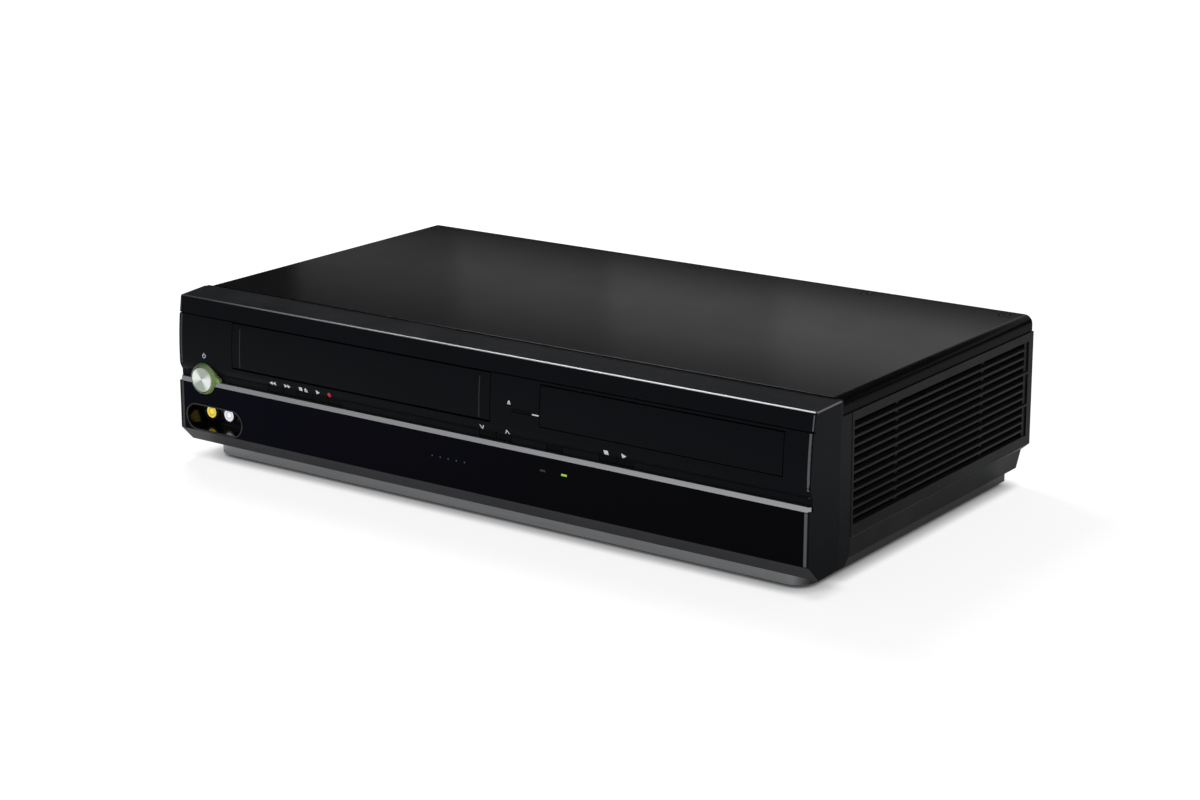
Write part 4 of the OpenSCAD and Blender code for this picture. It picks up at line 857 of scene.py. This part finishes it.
def add_shade_sheets():
    """Black sheets behind the side louvres, a little inside the tub's walls: painted shade that makes the
    louvres dark inside.
    """
    # painted shade: a near-black sheet where the louvres show only shade
    sheet_black = moulded("shade sheet black", (0.002, 0.002, 0.002), 0.9, 0.02, grain=2400.0, depth=0.3, wear=0.0,
                    dust=0.0)
    for label, side in (("left", -1), ("right", 1)):
        bm = bmesh.new()
        outer, inner = [[bm.verts.new(at(side * x, y, z)) for y, z in SHADE_SHEET_OUTLINE]
                        for x in (SHADE_SHEET_X, SHADE_SHEET_X - SHADE_SHEET_THICK)]
        for i in range(len(outer)):
            j = (i + 1) % len(outer)
            bm.faces.new([outer[i], outer[j], inner[j], inner[i]])
        bm.faces.new(outer)
        bm.faces.new(inner)
        add_piece("shade_sheet_" + label, bm, "case", sheet_black)


add_shade_sheets()

# ---------------------------------------------------------------- stage

EVEN_LIGHT = 0.5
SWEEP_TOWARD = (0.35, -0.85, 0.40)
SWEEP_DARK, SWEEP_PALE = 0.03, 0.85         # strengths away from the sweep and in it


def make_world():
    """White for the camera, even light, and a pale sweep in front that shiny pieces show."""
    world = bpy.data.worlds.new("studio")
    bpy.context.scene.world = world
    world.use_nodes = True
    tree = world.node_tree
    tree.nodes.clear()
    direction = node(tree, "TexCoord").outputs["Generated"]
    toward = node(tree, "VectorMath", {0: direction, 1: SWEEP_TOWARD}, operation="DOT_PRODUCT")
    sweep = ramp(tree, toward.outputs["Value"], 0.2, 0.7, SWEEP_DARK, SWEEP_PALE)
    path = node(tree, "LightPath").outputs
    shown = calc(tree, "MAXIMUM", path["Is Glossy Ray"], path["Is Transmission Ray"])
    level = blend_value(tree, shown, EVEN_LIGHT, sweep)
    level = blend_value(tree, path["Is Camera Ray"], level, 1.0)
    background = node(tree, "Background", {"Color": (1, 1, 1, 1), "Strength": level})
    out = node(tree, "OutputWorld")
    tree.links.new(background.outputs[0], out.inputs["Surface"])


FLOOR_HALF = 6.0                            # metres
GLOW_NEAR, GLOW_FAR = 0.86, 1.0             # up to the first distance, and from the second on
GLOW_DISTANCES = (0.45, 1.1)                # metres
SHARE_IN_GLOSS = 0.2
# Reach and power of the painted shadow close round the case
PAINTED_SHADOW_REACH, PAINTED_SHADOW_DEPTH = 0.011, 1.1   # metres, and a power


def make_floor():
    """Pale floor. It glows for the camera and a little for gloss, keeps the lamps' shadow, and lights the
    case. For the camera its glow and paint are also darkened close round the case: a painted shadow.
    """
    mesh = bpy.data.meshes.new("floor")
    corners = [(-1, -1), (1, -1), (1, 1), (-1, 1)]
    mesh.from_pydata([(x * FLOOR_HALF, y * FLOOR_HALF, 0) for x, y in corners], [], [(0, 1, 2, 3)])
    floor = bpy.data.objects.new("floor", mesh)
    bpy.context.scene.collection.objects.link(floor)
    material = bpy.data.materials.new("pale floor")
    material.use_nodes = True
    tree = material.node_tree
    tree.nodes.clear()
    path = node(tree, "LightPath").outputs
    seen = calc(tree, "MAXIMUM", path["Is Camera Ray"], path["Is Transmission Ray"])
    shown = calc(tree, "MAXIMUM", seen, calc(tree, "MULTIPLY", path["Is Glossy Ray"], SHARE_IN_GLOSS))
    # painted shadow: for the camera the floor is darkened by ambient occlusion close round the case
    painted_contact_shadow = node(tree, "AmbientOcclusion", {"Distance": PAINTED_SHADOW_REACH}, samples=8).outputs["AO"]
    painted_contact_shadow = blend_value(tree, seen, 1.0, calc(tree, "POWER", painted_contact_shadow, PAINTED_SHADOW_DEPTH))
    glow = ramp(tree, length_of(tree, placed(tree)), *GLOW_DISTANCES, GLOW_NEAR, GLOW_FAR)
    glow = calc(tree, "MULTIPLY", blend_value(tree, shown, 0.0, glow), painted_contact_shadow)
    paint = blend_colour(tree, shown, (0.86, 0.87, 0.88), (0.20, 0.201, 0.203))
    paint = node(tree, "VectorMath", {0: paint, "Scale": painted_contact_shadow}, operation="SCALE").outputs[0]
    matt = node(tree, "BsdfDiffuse", {"Color": paint}).outputs[0]
    white = node(tree, "Emission", {"Color": (1, 1, 1, 1), "Strength": glow}).outputs[0]
    mixed = node(tree, "AddShader", {0: matt, 1: white}).outputs[0]
    out = node(tree, "OutputMaterial")
    tree.links.new(mixed, out.inputs["Surface"])
    mesh.materials.append(material)


def add_softbox(name, place, aim, size, power):
    """A flat lamp that faces a point. Lengths are in metres, and the power is in watts."""
    data = bpy.data.lights.new(name, "AREA")
    data.shape = "RECTANGLE"
    data.size, data.size_y = size
    data.energy = power
    lamp = bpy.data.objects.new(name, data)
    bpy.context.scene.collection.objects.link(lamp)
    lamp.location = place
    lamp.rotation_mode = "QUATERNION"
    lamp.rotation_quaternion = (Vector(aim) - Vector(place)).to_track_quat("-Z", "Y")
    lamp.visible_camera = False


LOW_RIGHT, LOW_Y, LOW_Z, LOW_HEIGHT, LOW_GAP = 0.42, 0.284, 0.183, 0.045, 0.001
# Each strip's left end, and its power for each metre of width
LOW_STRIPS = ((-0.50, 0.068), (-0.34, 0.034), (-0.20, 0.038), (-0.06, 0.044))


def add_low_strips():
    """A low strip of light behind the case, stronger to the right. The cover shows it as a soft sheen."""
    for step, (left, level) in enumerate(LOW_STRIPS):
        middle, width = (left + LOW_RIGHT) / 2, LOW_RIGHT - left
        add_softbox(f"low strip {step}", (middle, LOW_Y + LOW_GAP * step, LOW_Z), (middle, 0, LOW_Z),
                    (width, LOW_HEIGHT), level * width)


make_world()
make_floor()
add_softbox("key softbox", (-0.90, 0.54, 1.46), (0, 0, 0.05), (0.40, 0.50), 20)
add_low_strips()

# How far each solid's edges are rounded, in millimetres
ROUNDED = {"front_bezel": 0.25, "cassette_door": 0.2, "tray_front": 0.2, "trim_strip": 0.12,
           "display_window": 0.15, "jack_cup": 0.3, "top_cover": 0.35, "base_pan": 0.5, "rubber_feet": 0.6}
for name, width in ROUNDED.items():
    soften(name, width)
